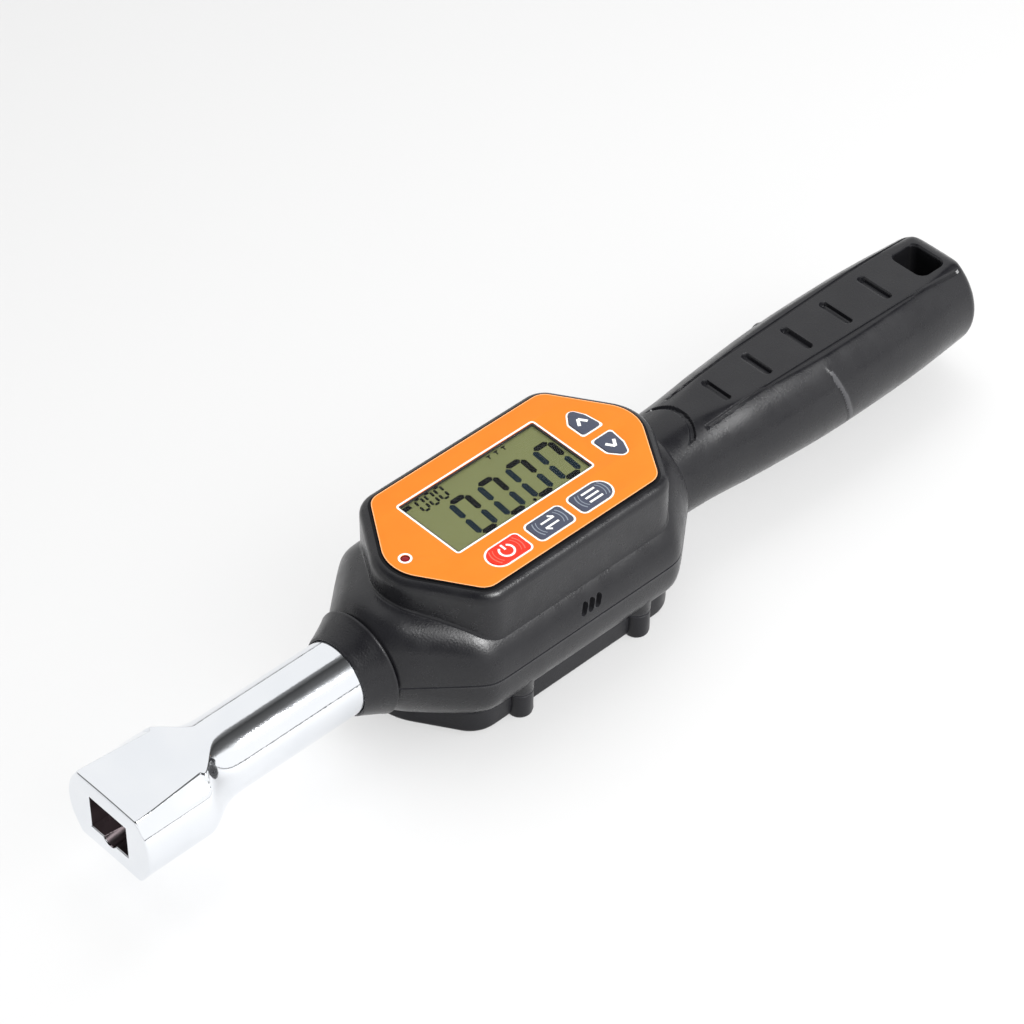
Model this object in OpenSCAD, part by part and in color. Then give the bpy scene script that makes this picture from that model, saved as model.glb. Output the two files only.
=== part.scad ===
// Digital torque wrench with a rectangular insert socket.
// The origin is the centre of the socket mouth, on the axis of the tool.
// +X runs from the socket to the handle and +Z is the display side.

/* [Insert head] */
// Width of the insert socket, across the tool
socket_w = 12; // [11.9:0.1:12.4]
// Height of the insert socket, along the turning axis
socket_h = 9; // [8.9:0.1:9.3]
// Depth of the insert socket
socket_depth = 22; // [19:0.5:26]
// Radius of the turned head
head_r = 13.1; // [12.7:0.1:14]
// Height of the head's flats above the axis
head_flat = 9; // [8.8:0.1:9.4]
// Length of the head before it narrows to the tube
head_len = 17; // [16:0.5:20]
// Diameter of the chromed tube
tube_d = 17.7; // [16.5:0.1:18.2]

/* [Housing] */
// Width of the housing at its parting line
body_w = 49.5; // [48:0.5:52]
// Height of the crowned upper body, under the raised face
body_top = 14; // [13:0.5:15]
// Height of the raised face above the axis
face_z = 22; // [21.5:0.25:23]
// Depth of the lower shell's flat underside below the axis
seam_depth = 11.3; // [11:0.1:11.8]
// Depth of the bottom cover below the axis
cover_depth = 17.8; // [17.4:0.1:18.4]
// Wall thickness of the moulded shells
wall = 2; // [1.6:0.1:2.2]

/* [Face panel] */
// Width of the orange face label
label_w = 37.6; // [37:0.1:38]
// Visible length of the display
lcd_l = 39.5; // [38:0.5:40]
// Visible width of the display
lcd_w = 19.1; // [18:0.1:19.4]
// Length of a function key
key_l = 9.6; // [9:0.1:10]
// Width of a function key
key_w = 5.4; // [5:0.1:5.6]
// Distance from one function key to the next
key_pitch = 12.5; // [12:0.1:13]
// How far every key stands proud of the label
key_proud = 0.35; // [0.3:0.05:0.5]

/* [Handle] */
// Radius of the handle at its fullest
grip_r = 15.1; // [14.8:0.1:15.6]
// Height of the handle's flat thumb panel above the axis
panel_z = 12.2; // [12:0.1:12.6]
// Overall length from socket mouth to handle end
overall_l = 250.5; // [250:0.5:254]
// Number of cross grooves on the thumb panel
groove_count = 5; // [3:1:5]

/* [Hidden] */

$fn = 64;
// Overlap that lets one cut pass cleanly through another
eps = 0.01;

tube_r = tube_d / 2;
throat_l = 14;
throat_spread = 5.9;
tube_end = 84;
catch_r = 2.5;
catch_x = 13;
ramp_r = 2.2;
ramp_depth = 1.3;
ramp_slope = 8;

facet_lean = 47.4;
facet_taper = 2.2;
facet_reach = 12.8;
facet_end = 18.4;

collar_x = 61.8;
collar_small_r = 9.6;
nose_x = 68.5;
nose_r = 12.5;
tail_x = 154.3;
tail_r = 13.6;
body_x = 113.6;
body_half = body_w / 2;
body_flat_l = 52;
nose_slope = 0.95;
tail_slope = 0.8;
// Where the cones that round off the nose and the tail meet, far outside the body
cone_x = (tail_r - nose_r + tail_slope * tail_x + nose_slope * nose_x) / (tail_slope + nose_slope);

// The raised face is a long hexagon with its tips on the tool axis
face_slope = 57.3;
face_tip = 37.2;
face_half = label_w / 2;
label_t = 0.25;
label_z = face_z - label_t;
pocket_z = label_z - label_t;
// The rim is a quarter round that starts a little below the label
bezel_rim = 2.5;
rim_z = pocket_z - 0.25;
plate_z = pocket_z - 1.8;
cover_half = 21.2;
cover_tip = 42.3;
cover_x = 112.2;

boss_x = [95.6, 131];
boss_y = 20.7;
boss_r = 3;
boss_depth = cover_depth + 0.4;
screw_r = 1.1;
screw_head_r = 1.9;

lcd_x = 111.05;
lcd_y = 3.25;
lcd_ledge = 0.3;
key_y = -13.1;
key_x = 98.95;
arrow_x = 138.6;
key_mid_y = 0.5;
key_gap = 0.15;
key_end_r = 2.65;
key_corner_r = 0.9;
key_centres = [
  [key_x, key_y], [key_x + key_pitch, key_y], [key_x + 2 * key_pitch, key_y],
  [arrow_x, key_mid_y + 5], [arrow_x, key_mid_y - 5]
];
lamp_hole_r = 1.05;
led_x = 81.9;

vent_x = 113.55;
vent_pitch = 2.05;
vent_z = 4;
vent_lean = 32;
vent_l = 3.2;
vent_w = 1.5;

board_z = 14.4;
board_t = 1.6;
board_top = board_z + board_t;
switch_h = 1.35;
stem_gap = 0.45;
stem_r = 1.2;
post_spots = [[85.2, 8.4], [85.2, -8.4], [146, 0]];

beam_x = [69, 136];
beam_flat_x = [85.9, 118];
beam_half_w = 5.4;
beam_half_h = 5;
waist_x = [92, 112];
waist_half_w = 3;
spigot_r = 5.45;
pin_r = 1.5;
front_pin_x = 77;
rear_pin_x = 128;
gauge_l = 6;
gauge_w = 4;
gauge_t = 0.2;
amp_board_x = [93, 111];
amp_board_half_w = 2.9;
amp_chip_x = [99, 105];
handle_tube_r = 7.9;
handle_bore_r = 5.9;
handle_tube_x = [120, 232];
plug_l = 8;
buzzer_at = [115, -12];
buzzer_r = 5.5;
buzzer_h = 3.6;
cell_r = 5.2;
cell_l = 44.5;
cell_y = 11;
cell_z = -10.4;
cell_x = 88;

grip_root_x = 152;
grip_root_r = 12.2;
groove_x = 175.7;
groove_pitch = 13.1;
rib_x = 204;
rib_lean = 18;
rib_r = 15.35;
end_round = 2.4;
hole_x = 242.8;
hole_l = 7.8;
hole_w = 10.2;

shell_black = [0.13, 0.13, 0.14];
cover_black = [0.10, 0.10, 0.11];
steel = [0.72, 0.73, 0.75];
key_grey = [0.28, 0.33, 0.40];

// ---- outline helpers ----

function unit(v) = v / norm(v);

// Points of the arc of radius r that rounds corner b between a and c
function corner_arc(a, b, c, r, steps) =
  let (
    u = unit(a - b),
    v = unit(c - b),
    half = acos(u * v) / 2,
    centre = b + unit(u + v) * r / sin(half),
    from = b + u * r / tan(half) - centre,
    to = b + v * r / tan(half) - centre,
    start = atan2(from.y, from.x),
    raw = atan2(to.y, to.x) - start,
    turn = raw > 180 ? raw - 360 : raw < -180 ? raw + 360 : raw
  )
  [for (i = [0:steps]) centre + r * [cos(start + turn * i / steps), sin(start + turn * i / steps)]];

// Closed outline with every corner rounded to its own radius
function rounded(points, radii, steps = 6) =
  let (n = len(points))
  [for (i = [0:n - 1])
    each corner_arc(points[(i + n - 1) % n], points[i], points[(i + 1) % n], radii[i], steps)];

// Long hexagon about the origin: half width, distance to its sharp tips, corner and tip radii
function hexagon(half, tip, corner_r, tip_r) =
  let (flat = tip - half / tan(face_slope))
  rounded(
    [[tip, 0], [flat, half], [-flat, half], [-tip, 0], [-flat, -half], [flat, -half]],
    [tip_r, corner_r, corner_r, tip_r, corner_r, corner_r]
  );

// The face hexagon grown outward by a distance
function face_hexagon(grow) =
  hexagon(face_half + grow, face_tip + grow / sin(face_slope), 4 + grow, 10 + grow);

// The cover hexagon shrunk inward by a distance
function cover_hexagon(inset) =
  hexagon(cover_half - inset, cover_tip - inset / sin(face_slope), 8 - inset, 15 - inset);

// Plan of the body at the parting line, shrunk inward by a distance
function body_plan(inset) =
  let (
    half = body_half - inset,
    flat = body_flat_l / 2,
    nose = nose_x - body_x,
    tail = tail_x - body_x
  )
  rounded(
    [[nose, nose_r - inset], [-flat, half], [flat, half], [tail, tail_r - inset],
     [tail, inset - tail_r], [flat, -half], [-flat, -half], [nose, inset - nose_r]],
    [0.1, 8, 8, 0.1, 0.1, 8, 8, 0.1]
  );

// Cross section of the body: a half ellipse above and a squarer curve below
function squircle(half, depth, power, angle) =
  [half * pow(abs(cos(angle)), 2 / power) * sign(cos(angle)),
   depth * pow(abs(sin(angle)), 2 / power) * sign(sin(angle))];

function body_section(inset) =
  concat(
    [for (a = [0:12:180]) [(body_half - inset) * cos(a), (body_top - inset) * sin(a)]],
    [for (a = [190:10:350]) squircle(body_half - inset, body_top - inset, 3.6, a)]
  );

// Turned shape about the tool axis from [x, radius] points
module turned(points) {
  rotate([90, 0, 90])
    rotate_extrude()
      polygon([for (p = points) [p.y, p.x]]);
}

module rod(x0, x1, r) {
  translate([x0, 0, 0])
    rotate([0, 90, 0])
      cylinder(h = x1 - x0, r = r);
}

module block(low, high) {
  translate(low)
    cube(high - low);
}

module slab(points, low, high) {
  translate([0, 0, low])
    linear_extrude(high - low)
      polygon(points);
}

// Box with rounded vertical edges, centred on a point in plan
module soft_box(centre, l, w, r, low, high) {
  translate([centre.x, centre.y, 0])
    slab(rounded([[l / 2, w / 2], [-l / 2, w / 2], [-l / 2, -w / 2], [l / 2, -w / 2]],
                 [r, r, r, r]), low, high);
}

// ---- drive train ----

// Bell-shaped throat that blends the head into the tube
function throat(steps) =
  [for (i = [0:steps])
    let (x = throat_l * i / steps)
    [head_len + x, tube_r + (head_r - tube_r) * exp(-pow(x / throat_spread, 2))]];

// Facets between the flats and the round sides, which run deeper towards the neck
module head_facets() {
  for (face = [0, 1])
    mirror([0, 0, face])
      for (side = [-1, 1])
        rotate([side * -facet_lean, 0, 0])
          translate([-1, -10, facet_reach])
            rotate([0, facet_taper, 0])
              cube([facet_end + 1, 20, 8]);
}

module drive_shaft() {
  color([0.86, 0.88, 0.90])
    difference() {
      intersection() {
        turned(concat([[0, 0], [0, head_r - 0.5], [0.5, head_r]], throat(12),
                      [[tube_end, tube_r], [tube_end, 0]]));
        block([-1, -20, -head_flat], [tube_end + 1, 20, head_flat]);
      }
      head_facets();
      block([-1, -socket_w / 2, -socket_h / 2], [socket_depth, socket_w / 2, socket_h / 2]);
      // Catch hole through the lower wall, with a ramp that leads the insert's catch to it
      translate([catch_x, 0, -head_flat - 1])
        cylinder(h = head_flat, r = catch_r);
      translate([0, 0, ramp_r - socket_h / 2 - ramp_depth])
        rotate([0, 90 - ramp_slope, 0])
          translate([0, 0, -1])
            cylinder(h = 11, r = ramp_r);
      // Blind bore and cross hole for the sensor beam
      rod(68, tube_end + 1, spigot_r + 0.05);
      translate([front_pin_x, 0, -20])
        cylinder(h = 40, r = pin_r);
    }
}

module nose_collar() {
  color(shell_black)
    turned([[collar_x, tube_r + 0.05], [collar_x, collar_small_r - 0.3], [collar_x + 0.3, collar_small_r],
            [nose_x - 1, nose_r - 0.35], [nose_x - 0.3, nose_r], [nose_x, nose_r - 0.2],
            [nose_x, tube_r + 0.05]]);
}

module nose_bush() {
  color("dimgray")
    difference() {
      rod(nose_x + 0.6, nose_x + 7, 10.95);
      rod(nose_x, nose_x + 8, tube_r + 0.03);
    }
}

module sensor_beam() {
  color(steel)
    difference() {
      union() {
        rod(beam_x[0], beam_flat_x[0] + 0.1, spigot_r);
        block([beam_flat_x[0], -beam_half_w, -beam_half_h], [beam_flat_x[1], beam_half_w, beam_half_h]);
        rod(beam_flat_x[1] - 0.1, beam_x[1], handle_bore_r - 0.05);
      }
      // Waist that bends with the load, where the strain gauges sit
      for (side = [-1, 1])
        block([waist_x[0], side > 0 ? waist_half_w : -8, -8], [waist_x[1], side > 0 ? 8 : -waist_half_w, 8]);
      for (x = [front_pin_x, rear_pin_x])
        translate([x, 0, -20])
          cylinder(h = 40, r = pin_r);
    }
}

module strain_gauges() {
  color("goldenrod")
    for (side = [-1, 1])
      for (x = [waist_x[0] + 2, waist_x[1] - 2 - gauge_l])
        translate([x, side > 0 ? waist_half_w : -waist_half_w - gauge_t, -gauge_w / 2])
          cube([gauge_l, gauge_t, gauge_w]);
}

module amplifier_board() {
  color("darkgreen") {
    block([amp_board_x[0], -amp_board_half_w, beam_half_h],
          [amp_board_x[1], amp_board_half_w, beam_half_h + 1]);
    block([amp_chip_x[0], -2, beam_half_h + 1], [amp_chip_x[1], 2, beam_half_h + 2.2]);
  }
}

module ribbon_cable() {
  color("burlywood")
    block([amp_board_x[1] - 3, -2.5, beam_half_h + 1], [amp_board_x[1] - 2.7, 2.5, board_z]);
}

module front_cross_pin() {
  color("gray")
    translate([front_pin_x, 0, 0])
      cylinder(h = 17.2, r = pin_r - 0.02, center = true);
}

module rear_cross_pin() {
  color("gray")
    translate([rear_pin_x, 0, 0])
      cylinder(h = 15.2, r = pin_r - 0.02, center = true);
}

module handle_tube() {
  color(steel)
    difference() {
      rod(handle_tube_x[0], handle_tube_x[1], handle_tube_r);
      rod(handle_tube_x[0] - 1, handle_tube_x[1] + 1, handle_bore_r);
      translate([rear_pin_x, 0, -20])
        cylinder(h = 40, r = pin_r);
    }
}

module tube_plug() {
  color("darkslategray") {
    rod(handle_tube_x[1] - plug_l, handle_tube_x[1], handle_bore_r - 0.05);
    rod(handle_tube_x[1], handle_tube_x[1] + 1.5, handle_tube_r);
  }
}

// ---- handle ----

// Turned profile of the handle, from its root in the housing to its rounded end
function grip_profile() =
  let (end_r = grip_r - 1.3)
  concat(
    [[grip_root_x, 0], [grip_root_x, grip_root_r], [160, grip_root_r + 0.05]],
    [for (i = [0:8]) [162 + i * 5.5, 12.35 + (grip_r - 12.35) * sin(90 * i / 8)]],
    [for (i = [1:6]) [211 + i * 6, grip_r + (end_r - grip_r) * pow(i / 6, 2)]],
    [for (a = [0:18:90])
      [overall_l - end_round + end_round * sin(a), end_r - end_round + end_round * cos(a)]],
    [[overall_l, 0]]
  );

// Grooves that border the thumb panel and widen towards the end
module panel_border() {
  for (side = [-1, 1])
    translate([167, side * 6.4, panel_z - 0.5])
      rotate([0, 0, side * 1.4])
        translate([0, -0.4, 0])
          cube([82, 0.8, 3]);
}

module cross_grooves() {
  for (i = [0:groove_count - 1]) {
    reach = 3.7 + i * 0.2;
    translate([groove_x + i * groove_pitch, 0, panel_z - 0.7])
      soft_box([0, 0], 1.4, 2 * reach, 0.65, 0, 3);
  }
}

module grip() {
  color(cover_black)
    difference() {
      union() {
        intersection() {
          turned(grip_profile());
          block([grip_root_x - 1, -20, -20], [overall_l + 1, 20, panel_z]);
        }
        // Thin rib that leans back across each side
        intersection() {
          translate([rib_x, 0, 0])
            rotate([0, 90 + rib_lean, 0])
              cylinder(h = 1, r = rib_r, center = true);
          block([rib_x - 14, -20, -20], [rib_x + 11, 20, 10.4]);
        }
      }
      rod(grip_root_x - 1, handle_tube_x[1] + 1.7, handle_tube_r + 0.05);
      panel_border();
      cross_grooves();
      // Curved groove that closes the panel at the neck
      translate([155.5, 0, panel_z - 0.5])
        difference() {
          cylinder(h = 3, r = 9.4);
          translate([0, 0, -1])
            cylinder(h = 5, r = 8.2);
          block([-12, -12, -2], [3, 12, 5]);
        }
      // Hanging hole, right through
      soft_box([hole_x, 0], hole_l, hole_w, 2, -20, 20);
    }
}

// ---- housing ----

// Solid outer form of the housing, from the nose ring to the tail ring
module body_form(inset) {
  intersection() {
    translate([body_x, 0, 0])
      slab(body_plan(inset), -30, 30);
    rotate([90, 0, 90])
      translate([0, 0, nose_x - 1])
        linear_extrude(tail_x - nose_x + 2)
          polygon(body_section(inset));
    turned([[nose_x, 0], [nose_x, nose_r - inset],
            [cone_x, nose_r - inset + nose_slope * (cone_x - nose_x)],
            [tail_x, tail_r - inset], [tail_x, 0]]);
  }
}

module raised_face() {
  translate([body_x, 0, 0]) {
    slab(face_hexagon(bezel_rim), 0, rim_z - bezel_rim);
    hull()
      for (a = [0:22.5:90]) {
        z = rim_z - bezel_rim * (1 - sin(a));
        slab(face_hexagon(bezel_rim * cos(a)), z - eps, z);
      }
    slab(face_hexagon(0), rim_z - 1, pocket_z);
  }
}

module function_key_plan(index, grow) {
  left = index == 0 ? key_end_r : key_corner_r;
  right = index == 2 ? key_end_r : key_corner_r;
  l = key_l / 2 + grow;
  w = key_w / 2 + grow;
  translate([key_x + index * key_pitch, key_y])
    polygon(rounded([[l, w], [-l, w], [-l, -w], [l, -w]],
                    [right + grow, left + grow, left + grow, right + grow]));
}

// A five-sided shield whose point leans away from the other arrow key
module arrow_key_plan(side, grow) {
  half = 2.55 + grow;
  base = 1.6 - grow;
  shoulder = 6;
  apex = 9.6 + 1.6 * grow;
  translate([arrow_x, key_mid_y])
    polygon([for (p = rounded([[-half, base], [half, base], [half - 0.5, shoulder], [0.4, apex],
                               [-half, shoulder]],
                              [0.8, 0.8, 1.5, 1 + grow, 1.5]))
             [p.x, side * p.y]]);
}

module key_plans(grow) {
  for (index = [0:2])
    function_key_plan(index, grow);
  for (side = [-1, 1])
    arrow_key_plan(side, grow);
}

module vent_slots() {
  for (i = [-1:1])
    translate([vent_x + vent_pitch * i, -body_half - 1, vent_z])
      rotate([0, vent_lean, 0])
        rotate([-90, 0, 0])
          soft_box([0, 0], vent_w, vent_l, vent_w / 2 - eps, 0, 6);
}

module upper_screw_posts() {
  intersection() {
    for (x = boss_x)
      for (side = [-1, 1])
        translate([x, side * boss_y, 0])
          cylinder(h = 5, r = 2.7);
    body_form(0.2);
  }
}

module upper_housing() {
  color(shell_black)
    difference() {
      union() {
        difference() {
          union() {
            intersection() {
              body_form(0);
              block([60, -30, 0], [160, 30, 30]);
            }
            raised_face();
          }
          body_form(wall);
          translate([body_x, 0, 0])
            slab(face_hexagon(bezel_rim - wall), -1, plate_z);
        }
        upper_screw_posts();
        for (spot = post_spots)
          translate([spot.x, spot.y, board_top])
            cylinder(h = plate_z - board_top + eps, r = 2);
      }
      // Pocket for the label, and openings for the display, keys and lamp
      translate([body_x, 0, 0])
        slab(face_hexagon(0.05), pocket_z, face_z + 1);
      soft_box([lcd_x, lcd_y], lcd_l, lcd_w, 0.5, plate_z + 1, face_z + 1);
      soft_box([lcd_x, lcd_y], lcd_l - 2 * lcd_ledge, lcd_w - 2 * lcd_ledge, 0.5, plate_z - 1, face_z + 1);
      translate([0, 0, plate_z - 1])
        linear_extrude(4)
          key_plans(key_gap);
      translate([led_x, 0, plate_z - 1])
        cylinder(h = 5, r = lamp_hole_r);
      vent_slots();
      // Nose and tail openings for the tube and the handle
      rod(nose_x - 1, nose_x + 8, 11);
      rod(tail_x - 5, tail_x + 1, 12.75);
      for (x = boss_x)
        for (side = [-1, 1])
          translate([x, side * boss_y, -1])
            cylinder(h = 4.2, r = screw_r);
      for (spot = post_spots)
        translate([spot.x, spot.y, board_top - 1])
          cylinder(h = 3.6, r = 0.8);
    }
}

module lower_housing() {
  color(shell_black)
    difference() {
      union() {
        difference() {
          intersection() {
            body_form(0);
            block([60, -30, -30], [160, 30, 0]);
          }
          body_form(wall);
          // Flat seat for the bottom cover, open in the middle for the batteries
          translate([cover_x, 0, 0])
            slab(cover_hexagon(-0.1), -30, -seam_depth);
          translate([cover_x, 0, 0])
            slab(cover_hexagon(3), -30, -seam_depth + 4);
        }
        for (x = boss_x)
          for (side = [-1, 1])
            translate([x, side * boss_y, -seam_depth])
              cylinder(h = seam_depth - 3, r = boss_r);
      }
      rod(nose_x - 1, nose_x + 8, 11);
      rod(tail_x - 5, tail_x + 1, 12.75);
      for (x = boss_x)
        for (side = [-1, 1])
          translate([x, side * boss_y, -20])
            cylinder(h = 30, r = screw_r + 0.1);
    }
}

module bottom_cover() {
  color(cover_black)
    difference() {
      union() {
        difference() {
          translate([cover_x, 0, 0])
            hull() {
              slab(cover_hexagon(0), -cover_depth + 1, -seam_depth);
              slab(cover_hexagon(1), -cover_depth, -cover_depth + 1);
            }
          translate([cover_x, 0, 0])
            slab(cover_hexagon(1.6), -cover_depth + 1.6, 0);
          // Rebate that the gasket lies in
          translate([cover_x, 0, 0])
            slab(cover_hexagon(0.9), -seam_depth - 0.8, 0);
        }
        for (x = boss_x)
          for (side = [-1, 1])
            translate([x, side * boss_y, -boss_depth])
              cylinder(h = boss_depth - seam_depth, r = boss_r);
      }
      for (x = boss_x)
        for (side = [-1, 1])
          translate([x, side * boss_y, -20]) {
            cylinder(h = 30, r = screw_r + 0.1);
            cylinder(h = 20 - cover_depth + 2.1, r = screw_head_r + 0.1);
          }
    }
}

module cover_gasket() {
  color("dimgray")
    translate([cover_x, 0, 0])
      difference() {
        slab(cover_hexagon(0.95), -seam_depth - 0.8, -seam_depth);
        slab(cover_hexagon(2.2), -seam_depth - 2, -seam_depth + 1);
        for (x = boss_x)
          for (side = [-1, 1])
            translate([x - cover_x, side * boss_y, -20])
              cylinder(h = 20, r = boss_r + 0.05);
      }
}

module cross_recess(size, depth) {
  for (turn = [0, 90])
    rotate([0, 0, turn])
      translate([-size / 2, -size / 8, 0])
        cube([size, size / 4, depth]);
}

module housing_screws() {
  color("gray")
    for (x = boss_x)
      for (side = [-1, 1])
        translate([x, side * boss_y, -cover_depth + 0.4])
          difference() {
            union() {
              cylinder(h = 1.6, r = screw_head_r);
              cylinder(h = cover_depth - 0.4 + 3, r = screw_r - 0.02);
            }
            translate([0, 0, -eps])
              cross_recess(2.4, 0.7);
          }
}

// ---- display and keys ----

module face_label() {
  color([1.0, 0.55, 0.16])
    difference() {
      translate([body_x, 0, 0])
        slab(face_hexagon(0), pocket_z, label_z);
      soft_box([lcd_x, lcd_y], lcd_l, lcd_w, 0.5, pocket_z - 1, face_z);
      translate([0, 0, pocket_z - 1])
        linear_extrude(3)
          key_plans(key_gap);
      translate([led_x, 0, pocket_z - 1])
        cylinder(h = 3, r = lamp_hole_r);
    }
}

module lcd_window() {
  color([0.75, 0.82, 0.72, 0.4])
    soft_box([lcd_x, lcd_y], lcd_l - 0.1, lcd_w - 0.1, 0.45, plate_z + 1, label_z - 0.05);
}

module lcd_panel() {
  color([0.56, 0.58, 0.38])
    soft_box([lcd_x, lcd_y], lcd_l + 1.5, lcd_w + 1.5, 0.4, plate_z - 2, plate_z - 0.05);
}

module lcd_frame() {
  color("silver")
    difference() {
      soft_box([lcd_x, lcd_y], lcd_l + 3.5, lcd_w + 3.3, 1, board_top, plate_z - 0.05);
      soft_box([lcd_x, lcd_y], lcd_l + 1.6, lcd_w + 1.6, 0.4, plate_z - 2.05, plate_z + 1);
      soft_box([lcd_x, lcd_y], lcd_l - 1, lcd_w - 0.6, 0.4, board_top - 1, plate_z + 1);
    }
}

module lcd_connectors() {
  color("salmon")
    for (side = [-1, 1])
      block([lcd_x - 17, lcd_y + side * 8 - 0.8, board_top],
            [lcd_x + 17, lcd_y + side * 8 + 0.8, plate_z - 2]);
}

module main_board() {
  color("green")
    difference() {
      translate([body_x, 0, 0])
        slab(face_hexagon(-0.3), board_z, board_top);
      for (spot = post_spots)
        translate([spot.x, spot.y, board_z - 1])
          cylinder(h = 4, r = 1);
    }
}

module board_screws() {
  color("gray")
    for (spot = post_spots)
      translate([spot.x, spot.y, board_z - 1.2]) {
        cylinder(h = 1.2, r = 1.6);
        cylinder(h = 5, r = 0.78);
      }
}

module dome_switches() {
  color("silver")
    for (c = key_centres)
      translate([c.x, c.y, board_top]) {
        soft_box([0, 0], 3.8, 3.8, 0.4, 0, switch_h - 0.35);
        cylinder(h = switch_h, r = 1.3);
      }
}

module indicator_led() {
  color([0.45, 0.04, 0.06])
    translate([led_x, 0, board_top]) {
      cylinder(h = 1.2, r = 1.5);
      cylinder(h = label_z - board_top, r = 0.95);
    }
}

module buzzer() {
  color("black")
    difference() {
      translate([buzzer_at.x, buzzer_at.y, board_z - buzzer_h])
        cylinder(h = buzzer_h, r = buzzer_r);
      translate([buzzer_at.x, buzzer_at.y, board_z - buzzer_h - 0.4])
        cylinder(h = 1.4, r = 0.9);
    }
}

// A key is a cap in the label, a flange that keeps it in, and a stem to its switch
module key_body(stem_at) {
  cap_low = plate_z - 0.1;
  translate([0, 0, cap_low])
    linear_extrude(label_z + key_proud - 0.3 - cap_low)
      children(0);
  translate([0, 0, label_z + key_proud - 0.3])
    linear_extrude(0.3)
      children(1);
  translate([0, 0, plate_z - 0.6])
    linear_extrude(0.5)
      children(2);
  translate([stem_at.x, stem_at.y, board_top + switch_h + stem_gap])
    cylinder(h = plate_z - 0.5 - board_top - switch_h - stem_gap, r = stem_r);
}

module function_key(index) {
  key_body(key_centres[index]) {
    function_key_plan(index, 0);
    function_key_plan(index, -0.25);
    function_key_plan(index, 0.55);
  }
}

module arrow_key(side) {
  key_body(key_centres[side > 0 ? 3 : 4]) {
    arrow_key_plan(side, 0);
    arrow_key_plan(side, -0.25);
    arrow_key_plan(side, 0.55);
  }
}

module key_power() {
  color([0.93, 0.20, 0.12])
    function_key(0);
}

module key_unit() {
  color(key_grey)
    function_key(1);
}

module key_memory() {
  color(key_grey)
    function_key(2);
}

module key_up() {
  color(key_grey)
    arrow_key(1);
}

module key_down() {
  color(key_grey)
    arrow_key(-1);
}

// ---- power supply ----

module battery_tray() {
  color("darkgray")
    difference() {
      for (side = [-1, 1])
        translate([0, side * cell_y, 0])
          block([cell_x - 2.4, -6.2, cell_z - 5], [cell_x + cell_l + 2.4, 6.2, cell_z + 5.6]);
      for (side = [-1, 1]) {
        translate([0, side * cell_y, cell_z])
          rod(cell_x - 0.8, cell_x + cell_l + 0.8, cell_r + 0.1);
        translate([0, side * cell_y, 0])
          block([cell_x - 0.8, -cell_r - 0.1, -30], [cell_x + cell_l + 0.8, cell_r + 0.1, cell_z]);
      }
      rod(60, 160, 9.4);
    }
}

module battery_cells() {
  color("royalblue")
    for (side = [-1, 1])
      translate([0, side * cell_y, cell_z]) {
        rod(cell_x, cell_x + cell_l - 1, cell_r);
        rod(cell_x + cell_l - 1, cell_x + cell_l, 1.9);
      }
}

module battery_contacts() {
  color("silver")
    for (side = [-1, 1])
      for (x = [cell_x - 0.8, cell_x + cell_l + 0.4])
        translate([0, side * cell_y, 0])
          block([x, -3.5, cell_z - 3.5], [x + 0.4, 3.5, cell_z + 3.5]);
}

drive_shaft();
nose_collar();
nose_bush();
sensor_beam();
strain_gauges();
amplifier_board();
ribbon_cable();
front_cross_pin();
rear_cross_pin();
handle_tube();
tube_plug();
grip();
upper_housing();
lower_housing();
bottom_cover();
cover_gasket();
housing_screws();
face_label();
lcd_window();
lcd_panel();
lcd_frame();
lcd_connectors();
main_board();
board_screws();
dome_switches();
indicator_led();
buzzer();
battery_tray();
battery_cells();
battery_contacts();
key_power();
key_unit();
key_memory();
key_up();
key_down();
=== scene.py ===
"""Looks of a digital torque wrench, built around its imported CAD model."""
import math

import bmesh
import bpy
import numpy as np
from mathutils import Matrix, Vector


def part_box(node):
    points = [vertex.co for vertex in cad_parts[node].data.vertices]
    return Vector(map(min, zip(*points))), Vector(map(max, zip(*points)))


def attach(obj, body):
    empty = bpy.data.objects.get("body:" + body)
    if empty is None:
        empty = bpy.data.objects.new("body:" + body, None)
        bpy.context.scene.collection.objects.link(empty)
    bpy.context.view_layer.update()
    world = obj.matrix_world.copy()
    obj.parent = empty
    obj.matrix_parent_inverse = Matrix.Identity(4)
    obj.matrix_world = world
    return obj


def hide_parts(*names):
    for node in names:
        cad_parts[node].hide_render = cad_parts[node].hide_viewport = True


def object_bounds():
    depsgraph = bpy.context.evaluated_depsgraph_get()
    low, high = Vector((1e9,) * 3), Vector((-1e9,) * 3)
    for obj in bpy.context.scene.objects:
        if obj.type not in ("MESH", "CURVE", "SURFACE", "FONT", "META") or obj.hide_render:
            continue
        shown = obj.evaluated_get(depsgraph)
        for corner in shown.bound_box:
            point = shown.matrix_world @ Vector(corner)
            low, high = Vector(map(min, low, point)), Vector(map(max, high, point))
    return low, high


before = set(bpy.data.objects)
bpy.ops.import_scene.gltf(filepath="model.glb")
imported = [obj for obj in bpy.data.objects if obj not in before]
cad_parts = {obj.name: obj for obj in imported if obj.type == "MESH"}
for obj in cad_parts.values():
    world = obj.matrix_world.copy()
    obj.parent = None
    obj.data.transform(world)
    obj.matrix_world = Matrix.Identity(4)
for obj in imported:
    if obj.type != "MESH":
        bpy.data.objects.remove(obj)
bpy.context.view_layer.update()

MM = 0.001
BODY = "wrench"


# ---- sizes in millimetres, from the frame ----

def box_mm(node):
    """Lowest and highest corner of a CAD node, in millimetres."""
    low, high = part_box(node)
    return np.array(low) / MM, np.array(high) / MM


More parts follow.
